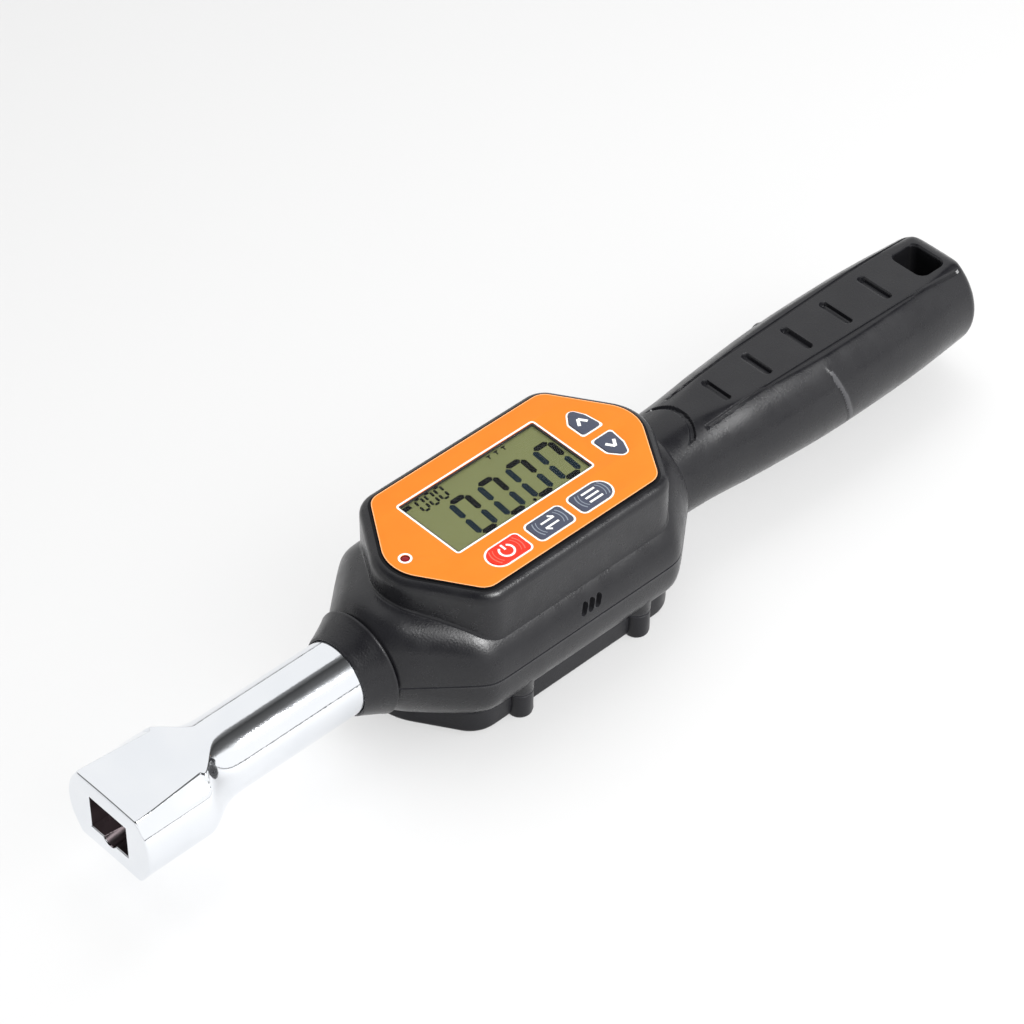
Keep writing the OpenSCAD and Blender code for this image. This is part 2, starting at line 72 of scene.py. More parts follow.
_, shaft_high = box_mm("drive_shaft")
collar_low, collar_high = box_mm("nose_collar")
upper_low, upper_high = box_mm("upper_housing")
label_low, label_high = box_mm("face_label")
cover_low, cover_high = box_mm("bottom_cover")
_, gasket_high = box_mm("cover_gasket")
grip_low, grip_high = box_mm("grip")
window_low, window_high = box_mm("lcd_window")
lamp_low, lamp_high = box_mm("indicator_led")
screws_low, screws_high = box_mm("housing_screws")

# Shaft
HEAD_R = shaft_high[1]
HEAD_FLAT = shaft_high[2]
TUBE_R = 8.85
SHAFT_END = shaft_high[0]
SOCKET_HALF_W = 6.0
SOCKET_HALF_H = 4.5
SOCKET_DEPTH = 22.0
HEAD_EDGE = 0.65

# Housing
NOSE_X = upper_low[0]
TAIL_X = upper_high[0]
BODY_HALF = upper_high[1]
BODY_TOP = 14.0
SEAM_Z = gasket_high[2]
COVER_HALF = 21.2
FACE_X = (label_low[0] + label_high[0]) / 2
COVER_X = (cover_low[0] + cover_high[0]) / 2
LABEL_HALF = label_high[1]
LABEL_Z = label_high[2]
POCKET_Z = label_low[2]
RIM_Z = POCKET_Z - 0.25
RIM_R = 2.5
SCREW_HEAD_R = 1.9
BOSS_Y = screws_high[1] - SCREW_HEAD_R
BOSSES = [(x, y) for x in (screws_low[0] + SCREW_HEAD_R, screws_high[0] - SCREW_HEAD_R)
          for y in (-BOSS_Y, BOSS_Y)]
BOSS_R = 3.0
BOSS_Z = cover_low[2]
COVER_Z = BOSS_Z + 0.4
FACE_SLOPE = math.radians(57.3)
WALL = 2.0

# Handle
GRIP_END = grip_high[0]
END_ROUND = 2.6
PANEL_Z = 12.2


# ---- outlines and meshes ----

def unit(v):
    return v / np.linalg.norm(v)


def full_turn(steps):
    """Evenly spaced angles around a circle, without the last one's repeat."""
    return np.linspace(0, 2 * math.pi, steps, endpoint=False)


def quarter_turn(steps):
    """Evenly spaced angles from 0 to a right angle, both included."""
    return np.linspace(0, math.pi / 2, steps)


def rounded(points, radii, steps=8):
    """Closed plan outline with every corner rounded to its own radius."""
    points = [np.array(p, float) for p in points]
    outline = []
    for i, corner in enumerate(points):
        before = unit(points[i - 1] - corner)
        after = unit(points[(i + 1) % len(points)] - corner)
        half = math.acos(np.clip(before @ after, -1, 1)) / 2
        centre = corner + unit(before + after) * radii[i] / math.sin(half)
        start = corner + before * radii[i] / math.tan(half) - centre
        end = corner + after * radii[i] / math.tan(half) - centre
        first = math.atan2(start[1], start[0])
        turn = (math.atan2(end[1], end[0]) - first + math.pi) % (2 * math.pi) - math.pi
        for k in range(steps + 1):
            angle = first + turn * k / steps
            outline.append(centre + radii[i] * np.array([math.cos(angle), math.sin(angle)]))
    return np.array(outline)


def resampled(outline, count):
    """The same closed outline with evenly spaced points."""
    closed = np.vstack([outline, outline[:1]])
    run = np.concatenate([[0], np.cumsum(np.linalg.norm(np.diff(closed, axis=0), axis=1))])
    marks = np.linspace(0, run[-1], count, endpoint=False)
    return np.stack([np.interp(marks, run, closed[:, 0]), np.interp(marks, run, closed[:, 1])], 1)


def outward(outline):
    """Outward unit normals of a counter-clockwise outline."""
    along = np.roll(outline, -1, 0) - np.roll(outline, 1, 0)
    normals = np.stack([along[:, 1], -along[:, 0]], 1)
    return normals / np.linalg.norm(normals, axis=1)[:, None]


def hexagon(half, reach, corner_r, tip_r):
    """Long hexagon about the origin, whose rounded tips reach a distance along X."""
    tip = reach + tip_r * (1 / math.sin(FACE_SLOPE) - 1)
    flat = tip - half / math.tan(FACE_SLOPE)
    corners = [(tip, 0), (flat, half), (-flat, half), (-tip, 0), (-flat, -half), (flat, -half)]
    return rounded(corners, [tip_r, corner_r, corner_r, tip_r, corner_r, corner_r], 12)


def at_station(x, y, z):
    """Ring of 3-D points in a plane across the tool."""
    return np.column_stack([np.full(len(y), x), y, z])


def at_height(outline, z):
    """Ring of 3-D points from a plan outline."""
    return np.column_stack([outline, np.full(len(outline), z)])


def grid_faces(rows, columns, wrap_rows, wrap_columns):
    """Quads of a grid of points stored row by row."""
    faces = []
    for r in range(rows if wrap_rows else rows - 1):
        for c in range(columns if wrap_columns else columns - 1):
            below = ((r + 1) % rows) * columns
            right = (c + 1) % columns
            faces.append((r * columns + c, r * columns + right, below + right, below + c))
    return faces


def add_object(name, data):
    """New object in the scene around its data."""
    obj = bpy.data.objects.new(name, data)
    bpy.context.scene.collection.objects.link(obj)
    return obj


def make_object(name, points, faces, paint, sharp=35):
    """Mesh object from points in millimetres, smooth except at edges sharper than an angle."""
    mesh = bpy.data.meshes.new(name)
    mesh.from_pydata((np.array(points) * MM).tolist(), [], faces)
    finish_mesh(mesh, sharp)
    mesh.materials.append(PAINTS[paint])
    return add_object(name, mesh)


def finish_mesh(mesh, sharp):
    """Merges doubles, turns every face outward and marks the sharp edges."""
    bm = bmesh.new()
    bm.from_mesh(mesh)
    bmesh.ops.remove_doubles(bm, verts=bm.verts, dist=1e-7)
    bmesh.ops.recalc_face_normals(bm, faces=bm.faces)
    limit = math.radians(sharp)
    for face in bm.faces:
        face.smooth = True
    for edge in bm.edges:
        edge.smooth = edge.calc_face_angle(0) < limit
    bm.to_mesh(mesh)
    bm.free()


def loft(name, rings, paint, closed=False, sharp=35):
    """Solid skinned over rings of equal point counts, capped at both ends or closed on itself."""
    rings = np.array(rings)
    rows, columns = rings.shape[:2]
    faces = grid_faces(rows, columns, closed, True)
    if not closed:
        faces.append(tuple(range(columns)))
        faces.append(tuple((rows - 1) * columns + c for c in reversed(range(columns))))
    return make_object(name, rings.reshape(-1, 3), faces, paint, sharp)


def turned(name, profile, paint, axis="x", centre=(0, 0), segments=96):
    """Solid turned about an axis from (position, radius) points, closed on itself when it has a bore."""
    closed = min(r for _, r in profile) > 0
    angles = full_turn(segments)
    rings = []
    for position, radius in profile:
        radius = max(radius, 1e-4)
        a, b = radius * np.cos(angles), radius * np.sin(angles)
        flat = np.full(segments, float(position))
        columns = [flat, a, b] if axis == "x" else [centre[0] + a, centre[1] + b, flat]
        rings.append(np.column_stack(columns))
    return loft(name, rings, paint, closed)


def plate(name, outlines, low, high, paint, edge=0.0):
    """Flat plate between two heights: the first outline is its edge and the others are holes in it."""
    curve = bpy.data.curves.new(name, "CURVE")
    curve.dimensions = "2D"
    curve.fill_mode = "BOTH"
    curve.extrude = ((high - low) / 2 - edge) * MM
    curve.bevel_depth = edge * MM
    curve.bevel_resolution = 3
    curve.offset = -edge * MM
    for outline in outlines:
        spline = curve.splines.new("POLY")
        spline.points.add(len(outline) - 1)
        for point, (x, y) in zip(spline.points, outline):
            point.co = (x * MM, y * MM, 0, 1)
        spline.use_cyclic_u = True
    shape = add_object(name, curve)
    graph = bpy.context.evaluated_depsgraph_get()
    mesh = bpy.data.meshes.new_from_object(shape.evaluated_get(graph))
    bpy.data.objects.remove(shape)
    bpy.data.curves.remove(curve)
    mesh.transform(Matrix.Translation((0, 0, (low + high) / 2 * MM)))
    mesh.materials.clear()
    finish_mesh(mesh, 50)
    mesh.materials.append(PAINTS[paint])
    return add_object(name, mesh)


def join(name, pieces):
    """One object from several, keeping each one's materials."""
    with bpy.context.temp_override(active_object=pieces[0], selected_editable_objects=pieces):
        bpy.ops.object.join()
    pieces[0].name = name
    return pieces[0]


def cut(target, cutters):
    """Cuts solids out of a piece, then removes them."""
    for cutter in cutters:
        modifier = target.modifiers.new("cut", "BOOLEAN")
        modifier.operation = "DIFFERENCE"
        modifier.solver = "EXACT"
        modifier.object = cutter
    graph = bpy.context.evaluated_depsgraph_get()
    mesh = bpy.data.meshes.new_from_object(target.evaluated_get(graph))
    target.modifiers.clear()
    target.data = mesh
    for cutter in cutters:
        bpy.data.objects.remove(cutter)
    finish_mesh(mesh, 35)
    return target


def soft_min(values, softness):
    """Smooth minimum of arrays, which rounds the edge where two surfaces meet."""
    stack = np.array(np.broadcast_arrays(*values), float)
    lowest = stack.min(0)
    return lowest - softness * np.log(np.exp(-(stack - lowest) / softness).sum(0))


def smooth_step(value):
    t = np.clip(value, 0, 1)
    return t * t * (3 - 2 * t)


def groove(distance, half_width, soft):
    """1 inside a groove, 0 outside it, with soft edges."""
    return 1 - smooth_step((np.abs(distance) - half_width + soft) / (2 * soft))


# ---- materials ----

def set_input(owner, socket, value):
    """Feeds a socket with another node's output, or sets its number or colour."""
    if isinstance(value, bpy.types.NodeSocket):
        owner.node_tree.links.new(value, socket)
    else:
        socket.default_value = value


def add_node(owner, kind, inputs, **settings):
    """New node in a material or a world, with its settings and inputs."""
    node = owner.node_tree.nodes.new(kind)
    for name, value in settings.items():
        setattr(node, name, value)
    for name, value in inputs.items():
        set_input(owner, node.inputs[name], value)
    return node


def set_shader(material, name, value):
    """Sets or feeds an input of the material's shader."""
    set_input(material, material.node_tree.nodes["Principled BSDF"].inputs[name], value)


def node_math(owner, operation, *values):
    """Result of a sum on outputs and plain numbers."""
    return add_node(owner, "ShaderNodeMath", dict(enumerate(values)), operation=operation).outputs["Value"]


def colour_ramp(owner, factor, stops):
    """Colour ramp from (position, colour) stops, where a single number is a grey."""
    node = add_node(owner, "ShaderNodeValToRGB", {"Fac": factor})
    elements = node.color_ramp.elements
    while len(elements) < len(stops):
        elements.new(0.5)
    for element, (position, colour) in zip(elements, stops):
        element.position = position
        element.color = (*np.broadcast_to(colour, 3), 1)
    return node.outputs["Color"]


def mixed(owner, factor, first, second, blend="MIX"):
    """Mix of two colours."""
    return add_node(owner, "ShaderNodeMix", {"Factor": factor, "A": first, "B": second},
                    data_type="RGBA", blend_type=blend).outputs["Result"]


def new_material(name, colour, roughness, metallic=0.0, gloss=0.5):
    material = bpy.data.materials.new(name)
    material.use_nodes = True
    set_shader(material, "Specular IOR Level", gloss)
    set_shader(material, "Base Color", (*colour, 1))
    set_shader(material, "Roughness", roughness)
    set_shader(material, "Metallic", metallic)
    return material


def add_noise(material, size_mm, detail=2.0):
    """Noise texture in object space, with features of about one size."""
    spot = add_node(material, "ShaderNodeTexCoord", {}).outputs["Object"]
    inputs = {"Scale": 1 / (size_mm * MM), "Detail": detail, "Vector": spot}
    return add_node(material, "ShaderNodeTexNoise", inputs).outputs["Fac"]


def vary_colour(material, factor, dark, light):
    """Colour that wanders between two close shades."""
    shade = colour_ramp(material, factor, [(0.35, dark), (0.65, light)])
    set_shader(material, "Base Color", shade)
    return shade


def vary_roughness(material, factor, low, high):
    spread = {"Value": factor, "From Min": 0.3, "From Max": 0.7, "To Min": low, "To Max": high}
    set_shader(material, "Roughness", add_node(material, "ShaderNodeMapRange", spread).outputs["Result"])


def add_bump(material, height, depth_mm):
    """Bump whose full height is a depth in millimetres."""
    bump = {"Strength": 1.0, "Distance": depth_mm * MM, "Height": height}
    set_shader(material, "Normal", add_node(material, "ShaderNodeBump", bump).outputs["Normal"])


def add_edge_wear(material, shade, worn):
    """Lightens the convex edges, where handling has polished the surface."""
    shape = add_node(material, "ShaderNodeNewGeometry", {}).outputs["Pointiness"]
    spread = {"Value": shape, "From Min": 0.52, "From Max": 0.60, "To Max": 0.5}
    edge = add_node(material, "ShaderNodeMapRange", spread).outputs["Result"]
    set_shader(material, "Base Color", mixed(material, edge, shade, (*worn, 1)))


def moulded_plastic(name, dark, light, worn, rough, gloss=0.5, grain_mm=0.35, grain_depth=0.012):
    """Moulded plastic with a fine eroded grain and lightly polished edges."""
    material = new_material(name, dark, rough, gloss=gloss)
    shade = vary_colour(material, add_noise(material, 9), dark, light)
    vary_roughness(material, add_noise(material, 4), rough - 0.05, rough + 0.06)
    add_bump(material, add_noise(material, grain_mm, 3), grain_depth)
    add_edge_wear(material, shade, worn)
    return material


def printed_film(name, colour, rough, gloss=0.25):
    """Printed film: even colour with a faint mottle and orange-peel surface."""
    material = new_material(name, colour, rough, gloss=gloss)
    vary_colour(material, add_noise(material, 6), [c * 0.96 for c in colour], colour)
    vary_roughness(material, add_noise(material, 2), rough - 0.04, rough + 0.05)
    add_bump(material, add_noise(material, 0.8), 0.004)
    return material


def bare_metal(name, colour, rough):
    """Machined or plated metal with a fine surface and uneven polish."""
    material = new_material(name, colour, rough, 1.0)
    vary_colour(material, add_noise(material, 3), [c * 0.88 for c in colour], colour)
    vary_roughness(material, add_noise(material, 1.5, 4), rough * 0.8, rough * 1.25)
    add_bump(material, add_noise(material, 0.5, 4), 0.003)
    return material


def bright_chrome():
    """Chrome plate with faint handling marks."""
    material = new_material("bright_chrome", (0.85, 0.87, 0.90), 0.06, 1.0)
    vary_colour(material, add_noise(material, 12), (0.83, 0.855, 0.89), (0.86, 0.88, 0.91))
    vary_roughness(material, add_noise(material, 3, 5), 0.04, 0.09)
    add_bump(material, add_noise(material, 0.6, 3), 0.009)
    return material


def clear_window():
    """Thin clear window that keeps its gloss."""
    material = new_material("clear_window", (0.02, 0.02, 0.02), 0.05)
    set_shader(material, "Alpha", 0.1)
    set_shader(material, "IOR", 1.49)
    vary_roughness(material, add_noise(material, 5), 0.03, 0.08)
    return material


# Shades of black moulding: dark, light and worn
HOUSING_BLACK = ((0.009, 0.009, 0.011), (0.012, 0.012, 0.014), (0.05, 0.05, 0.055))
GRIP_BLACK = ((0.007, 0.007, 0.009), (0.010, 0.010, 0.012), (0.05, 0.05, 0.055))

PAINTS = {
    "shell": moulded_plastic("shell_black", *HOUSING_BLACK, 0.29, 0.40, 0.45, 0.045),
    "cover": moulded_plastic("cover_black", *HOUSING_BLACK, 0.33, 0.15, 0.45, 0.03),
    "grip": moulded_plastic("grip_black", *GRIP_BLACK, 0.27, 0.40, 0.5, 0.03),
    # Lighter grey for the rib across each side of the handle
    "rib": moulded_plastic("rib_lighter_grey", (0.05, 0.05, 0.055), (0.06, 0.06, 0.065), (0.08, 0.08, 0.08), 0.4),
    # Near-black matt plastic used as painted shade beside the label, behind the collar, along the film's side
    # and inside the hanging hole
    "rim": moulded_plastic("rim_painted_shade", (0.004, 0.004, 0.005), (0.006, 0.006, 0.007), (0.01, 0.01, 0.01),
                           0.6, 0.15),
    "bush": moulded_plastic("bush_grey", (0.20, 0.20, 0.21), (0.24, 0.24, 0.25), (0.3, 0.3, 0.3), 0.5),
    "rubber": moulded_plastic("soft_rubber", (0.035, 0.035, 0.035), (0.05, 0.05, 0.05), (0.06, 0.06, 0.06),
                              0.75),
    "white": moulded_plastic("white_plastic", (0.70, 0.70, 0.68), (0.78, 0.78, 0.76), (0.82, 0.82, 0.80),
                             0.45),
    "orange": printed_film("orange_film", (0.98, 0.198, 0.018), 0.4, 0.12),
    # Pale orange for the film's edge line: painted highlight
    "film_edge_highlight": printed_film("film_edge_highlight", (0.98, 0.44, 0.18), 0.3, 0.3),
    "white_ink": printed_film("white_ink", (0.86, 0.86, 0.84), 0.4),
    "red_key": printed_film("red_key", (0.80, 0.030, 0.014), 0.25, 0.2),
    "grey_key": printed_film("grey_key", (0.060, 0.068, 0.100), 0.25, 0.2),
    "emboss": printed_film("emboss_grey", (0.22, 0.25, 0.30), 0.22),
    "emboss_red": printed_film("emboss_red", (0.90, 0.12, 0.08), 0.22),
    "lcd": printed_film("lcd_glass", (0.214, 0.233, 0.097), 0.4, 0.1),
    "segment": printed_film("lcd_segment", (0.004, 0.005, 0.005), 0.5, 0.03),
    "segment_soft": printed_film("lcd_segment_soft", (0.008, 0.018, 0.026), 0.5, 0.03),
    "lamp": printed_film("lamp_red", (0.20, 0.006, 0.012), 0.12),
    "chrome": bright_chrome(),
    "steel": bare_metal("machined_steel", (0.56, 0.57, 0.58), 0.30),
    # Dark steel inside the socket: painted shade in its hollow
    "socket": bare_metal("socket_painted_shade", (0.085, 0.070, 0.074), 0.34),
    "zinc": bare_metal("zinc_steel", (0.60, 0.61, 0.63), 0.28),
    "nickel": bare_metal("spring_nickel", (0.66, 0.64, 0.58), 0.25),
    "gold": bare_metal("gold_foil", (0.80, 0.56, 0.22), 0.30),
    "board": moulded_plastic("board_green", (0.012, 0.10, 0.035), (0.018, 0.14, 0.05), (0.05, 0.2, 0.08),
                             0.35),
    "sleeve": printed_film("cell_sleeve", (0.03, 0.08, 0.32), 0.25),
    "window": clear_window(),
}

NODE_PAINTS = {
    "nose_bush": "bush", "sensor_beam": "steel", "strain_gauges": "gold", "amplifier_board": "board",
    "ribbon_cable": "white", "front_cross_pin": "steel", "rear_cross_pin": "steel",
    "handle_tube": "steel", "tube_plug": "rubber", "cover_gasket": "rubber", "housing_screws": "zinc",
    "lcd_frame": "white", "lcd_connectors": "rubber", "main_board": "board", "board_screws": "zinc",
    "dome_switches": "nickel", "buzzer": "shell", "battery_tray": "bush", "battery_cells": "sleeve",
    "battery_contacts": "nickel",
}


def paint_nodes():
    """Gives each CAD node that stays in view, or inside, its own procedural material."""
    for node, paint in NODE_PAINTS.items():
        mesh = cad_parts[node].data
        mesh.materials.clear()
        mesh.materials.append(PAINTS[paint])


def place(piece, slot, *nodes, body=BODY):
    """Puts a finished piece on its body, instead of its CAD nodes; its slot is not used."""
    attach(piece, body)
    if nodes:
        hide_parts(*nodes)


def paint_faces(obj, paint, wanted):
    """Gives the faces whose centre, in millimetres, and normal pass a test their own paint."""
    obj.data.materials.append(PAINTS[paint])
    index = len(obj.data.materials) - 1
    for face in obj.data.polygons:
        if wanted(np.array(face.center) / MM, face.normal):
            face.material_index = index


# ---- shaft ----

def shaft_radius(x, angle):
    """Distance from the axis to the chromed surface: turned, flatted and faceted."""
    throat_x, throat_run = 17.0, 5.9
    throat = TUBE_R + (HEAD_R - TUBE_R) * np.exp(-((x - throat_x) / throat_run) ** 2)
    turned_r = np.where(x < throat_x, HEAD_R, throat)
    sine = np.maximum(np.abs(np.sin(angle)), 1e-3)
    flat = HEAD_FLAT / sine
    # Each facet runs from a line on the flat to a line on the round side
    facet_end, facet_fade = 18.4, 1.3
    low_y, low_z = 11.73, 5.85
    high_y_front, high_y_change = 9.75, 1.8
    high_y = high_y_front - high_y_change * np.clip(x / facet_end, 0, 1)
    run_y, run_z = high_y - low_y, HEAD_FLAT - low_z
    length = np.hypot(run_y, run_z)
    normal_y, normal_z = run_z / length, -run_y / length
    reach = low_y * normal_y + low_z * normal_z + np.maximum(0, x - facet_end) * facet_fade
    facing = np.abs(np.cos(angle)) * normal_y + np.abs(np.sin(angle)) * normal_z
    facet = reach / np.maximum(facing, 0.05)
    edge_softness = 0.085
    surface = soft_min([turned_r, flat, facet], edge_softness)
    into_edge = 1 - np.clip(x / HEAD_EDGE, 0, 1)
    bevel = HEAD_EDGE * (1 - np.sqrt(np.clip(1 - into_edge ** 2, 0, 1)))
    return surface - bevel


def socket_rim(angle, grow):
    """Distance from the axis to the edge of the rectangular socket."""
    wide = (SOCKET_HALF_W + grow) / np.maximum(np.abs(np.cos(angle)), 1e-3)
    tall = (SOCKET_HALF_H + grow) / np.maximum(np.abs(np.sin(angle)), 1e-3)
    return np.minimum(wide, tall)


def socket_ring(x, angle, grow):
    """Ring of the socket's wall, sunk at the bottom where the lead-in ramp runs."""
    rim = socket_rim(angle, grow)
    y, z = rim * np.cos(angle), rim * np.sin(angle)
    ramp_r, ramp_depth, ramp_length = 2.2, 1.3, 9.25
    depth = ramp_depth * max(0.0, 1 - x / ramp_length)
    across = np.sqrt(np.clip(ramp_r ** 2 - y ** 2, 0, None))
    floor = -(SOCKET_HALF_H + depth - ramp_r) - across
    sunk = (z < 0) & (np.abs(y) < ramp_r) & (floor < z)
    return at_station(x, y, np.where(sunk, floor, z))


def build_shaft():
    angle = full_turn(360)
    front = HEAD_EDGE * (1 - np.cos(quarter_turn(11)))
    # Stations are close together where the head runs into the tube
    stations = np.concatenate([front, np.arange(1.2, 16.5, 0.7), np.arange(16.6, 31, 0.2),
                               np.arange(32, SHAFT_END, 2), [SHAFT_END]])
    rings = []
    for x in stations[::-1]:
        r = shaft_radius(np.full(len(angle), x), angle)
        rings.append(at_station(x, r * np.cos(angle), r * np.sin(angle)))
    rings.append(socket_ring(0, angle, 0.25))
    for x in np.concatenate([[0.12, 0.3], np.arange(0.8, 10, 0.4), [12, 16, SOCKET_DEPTH]]):
        rings.append(socket_ring(x, angle, 0.0 if x > 0.2 else 0.08))
    shaft = loft("chromed_shaft", rings, "chrome", sharp=50)
    catch_x, catch_r = 13.0, 2.5
    low, high = -HEAD_FLAT - 2, -2
    bore = [(low, 0), (low, catch_r), (high, catch_r), (high, 0)]
    cut(shaft, [turned("drill", bore, "chrome", "z", (catch_x, 0), 48)])
    paint_socket_shade(shaft)
    place(shaft, "chromed_steel", "drive_shaft")


def paint_socket_shade(shaft):
    """Gives the inside of the socket a dark steel, a painted shade for its hollow."""
    front, ramp_room = 0.4, 1.5

    def inside(spot, normal):
        x, y, z = spot
        across = abs(y) < SOCKET_HALF_W + 0.05 and abs(z) < SOCKET_HALF_H + ramp_room
        return across and front < x < SOCKET_DEPTH + 1

    paint_faces(shaft, "socket", inside)


def build_collar():
    x0, x1 = collar_low[0], collar_high[0]
    large = collar_high[1]
    small = 9.6
    bore = TUBE_R + 0.04
    profile = [(x0 + 0.25, bore), (x0, bore + 0.12), (x0, small - 0.35), (x0 + 0.12, small - 0.1),
               (x0 + 0.4, small + 0.05)]
    # The cone is very slightly hollow between its ends
    hollow = 1.06
    for t in np.linspace(0.1, 0.9, 9):
        radius = small + 0.05 + (large - 0.35 - small) * t ** hollow
        profile.append((x0 + 0.4 + t * (x1 - x0 - 1.2), radius))
    profile += [(x1 - 0.75, large - 0.22), (x1 - 0.5, large - 0.06), (x1 - 0.25, large),
                (x1 - 0.05, large - 0.1), (x1, large - 0.3), (x1, bore)]
    collar = turned("nose_cone", profile, "shell", segments=160)
    place(collar, "black_plastic", "nose_collar")


# ---- housing ----

NOSE_R = 11.9
TAIL_R = 13.1
NOSE_EDGE = NOSE_X + 0.5
SEAM_GAP = 0.25


def body_reach(x, limit):
    """Half width or height of the body at x: tapering to the nose and the tail, and limited between."""
    nose_slope, tail_slope, softness = 0.86, 0.82, 0.9
    nose = NOSE_R + nose_slope * (x - NOSE_EDGE - 0.5)
    tail = TAIL_R + tail_slope * (TAIL_X - x)
    return soft_min([nose, tail, np.full(np.shape(x), limit)], softness)


def ends_blend(x, run):
    """0 at the body's round ends and 1 along its middle."""
    return smooth_step((x - NOSE_EDGE) / run) * smooth_step((TAIL_X - x) / run)


def upper_power(x):
    """How square the upper body's section is: 2 is an ellipse."""
    return 2.0 + 0.25 * ends_blend(x, 12)


def squared_arch(x, angle, power, inset):
    """Points of half an ellipse squared by a power, from one parting line to the other."""
    w = body_reach(x, BODY_HALF) - inset
    h = body_reach(x, BODY_TOP) - inset
    c, s = np.cos(angle), np.sin(angle)
    return np.sign(c) * w * np.abs(c) ** (2 / power), h * np.abs(s) ** (2 / power)


def upper_section(x, angle, inset=0.0):
    """Points of the upper body's skin over the top."""
    return squared_arch(x, angle, upper_power(x), inset)


def lower_section(x, angle, inset=0.0):
    """Points of the lower body's skin, squarer than the upper and flat where the cover lies."""
    y, depth = squared_arch(x, angle, 2.0 + 1.4 * ends_blend(x, 16), inset)
    floor_z = SEAM_Z + 0.14 + (WALL if inset else 0)
    return y, np.maximum(-depth, floor_z)


def body_height(x, y):
    """Height of the upper body's skin over a point in plan."""
    power = upper_power(x)
    w = body_reach(x, BODY_HALF)
    h = body_reach(x, BODY_TOP)
    return h * np.clip(1 - np.clip(np.abs(y) / w, 0, 1) ** power, 0, 1) ** (1 / power)


def half_shell(name, section, side):
    """Moulded half of the body, with a wall, open along the parting line and round at both ends."""
    angle = np.linspace(0, math.pi, 121)
    angle = np.sort(np.concatenate([angle, math.pi * np.array([0.002, 0.004, 0.996, 0.998])]))
    x0, x1 = NOSE_EDGE, TAIL_X
    stations = np.concatenate([[x0, x0 + 0.12, x0 + 0.35], np.linspace(x0 + 0.8, x1 - 0.8, 130),
                               [x1 - 0.35, x1 - 0.12, x1]])
    # The first and last stations shrink to round the ends
    edge_round = np.zeros(len(stations))
    edge_round[:3] = (0.5, 0.22, 0.06)
    edge_round[-3:] = (0.06, 0.22, 0.5)
    nose_opening, tail_opening = 11.05, 12.75
    end_wall = 3.5
    gap = side * SEAM_GAP * (1 - np.abs(np.sin(angle)))
    rings = []
    for i, x in enumerate(stations):
        y, z = section(x, angle)
        scale = 1 - edge_round[i] / np.maximum(np.hypot(y, z), 1)
        y, z = y * scale, z * scale
        if x < x0 + end_wall or x > x1 - end_wall:
            bore = nose_opening if x < FACE_X else tail_opening
            bore = np.minimum(bore, np.hypot(y, z) - 0.2)
            inner_y, inner_z = bore * np.cos(angle), side * bore * np.sin(angle)
        else:
            inner_y, inner_z = section(x, angle, WALL)
        outer = at_station(x, y, z + gap)
        inner = at_station(x, inner_y, inner_z + gap)[::-1]
        rings.append(np.vstack([outer, inner]))
    rings = np.array(rings)
    rows, columns = rings.shape[:2]
    faces = grid_faces(rows, columns, False, True)
    half = columns // 2
    for row in (0, rows - 1):
        base = row * columns
        for c in range(half - 1):
            faces.append((base + c, base + c + 1, base + columns - 2 - c, base + columns - 1 - c))
    return make_object(name, rings.reshape(-1, 3), faces, "shell", 40)


def face_outline(count=420):
    """Edge of the label in plan."""
    outline = hexagon(LABEL_HALF, (label_high[0] - label_low[0]) / 2, 4, 10)
    return resampled(outline + np.array([FACE_X, 0]), count)


def build_bezel():
    """Wall of the raised face: a fillet out of the body, and a quarter-round rim up to the label."""
    edge = face_outline()
    normal = outward(edge)
    wall = edge + normal * RIM_R
    base_z = body_height(wall[:, 0], wall[:, 1])
    probe_run, steepest = 0.6, 3
    probe = edge + normal * (RIM_R + probe_run)
    slope = np.clip((base_z - body_height(probe[:, 0], probe[:, 1])) / probe_run, 0, steepest)
    reach = 0.8
    foot_run = reach / np.hypot(1, slope)
    foot = wall + normal * foot_run[:, None]
    foot_z = body_height(foot[:, 0], foot[:, 1])
    top_of_fillet = base_z + reach

    def ring(offset, z):
        plan = edge + normal * offset
        return np.column_stack([plan, np.broadcast_to(z, len(edge))])

    hidden_foot = np.column_stack([foot - normal * 0.3, np.maximum(foot_z - 1.2, 1)])
    rings = [ring(0.3, 6.0), hidden_foot]
    # The fillet is a quadratic curve from the body's skin to the wall
    for t in np.linspace(0, 1, 7):
        start, middle, end = (1 - t) ** 2, 2 * t * (1 - t), t * t
        plan = start * foot + middle * wall + end * wall
        z = start * (foot_z - 0.01) + middle * base_z + end * top_of_fillet
        rings.append(np.column_stack([plan, z]))
    top_z = RIM_Z - RIM_R
    for t in (0.35, 0.7, 1.0):
        rings.append(ring(RIM_R, top_of_fillet + (top_z - top_of_fillet) * t))
    for t in quarter_turn(13)[1:-1]:
        rings.append(ring(RIM_R * math.cos(t), top_z + RIM_R * math.sin(t)))
    # Groove round the label, pocket under its edge and the hidden inner wall
    groove_z, pocket_floor, inner_low = RIM_Z - 0.2, POCKET_Z - 0.02, 8.0
    for offset, z in ((0.12, RIM_Z), (0.06, groove_z), (0.0, groove_z), (0.0, pocket_floor),
                      (-0.4, pocket_floor), (-0.4, inner_low)):
        rings.append(ring(offset, z))
    bezel = loft("bezel_wall", rings, "shell", closed=True, sharp=50)
    paint_rim_shade(bezel, edge)
    return bezel


def paint_rim_shade(bezel, edge):
    """Gives the band beside the label a near-black matt material: painted shade along the label's edge."""
    width, depth = 0.6, 0.4

    def beside_label(spot, normal):
        return spot[2] > RIM_Z - depth and np.hypot(*(edge - spot[:2]).T).min() < width

    paint_faces(bezel, "rim", beside_label)


# ---- face: keys, display, label ----

KEY_NODES = ("key_power", "key_unit", "key_memory", "key_up", "key_down")
KEY_BODIES = ("power_key", "unit_key", "memory_key", "up_key", "down_key")
KEY_GAP = 0.15


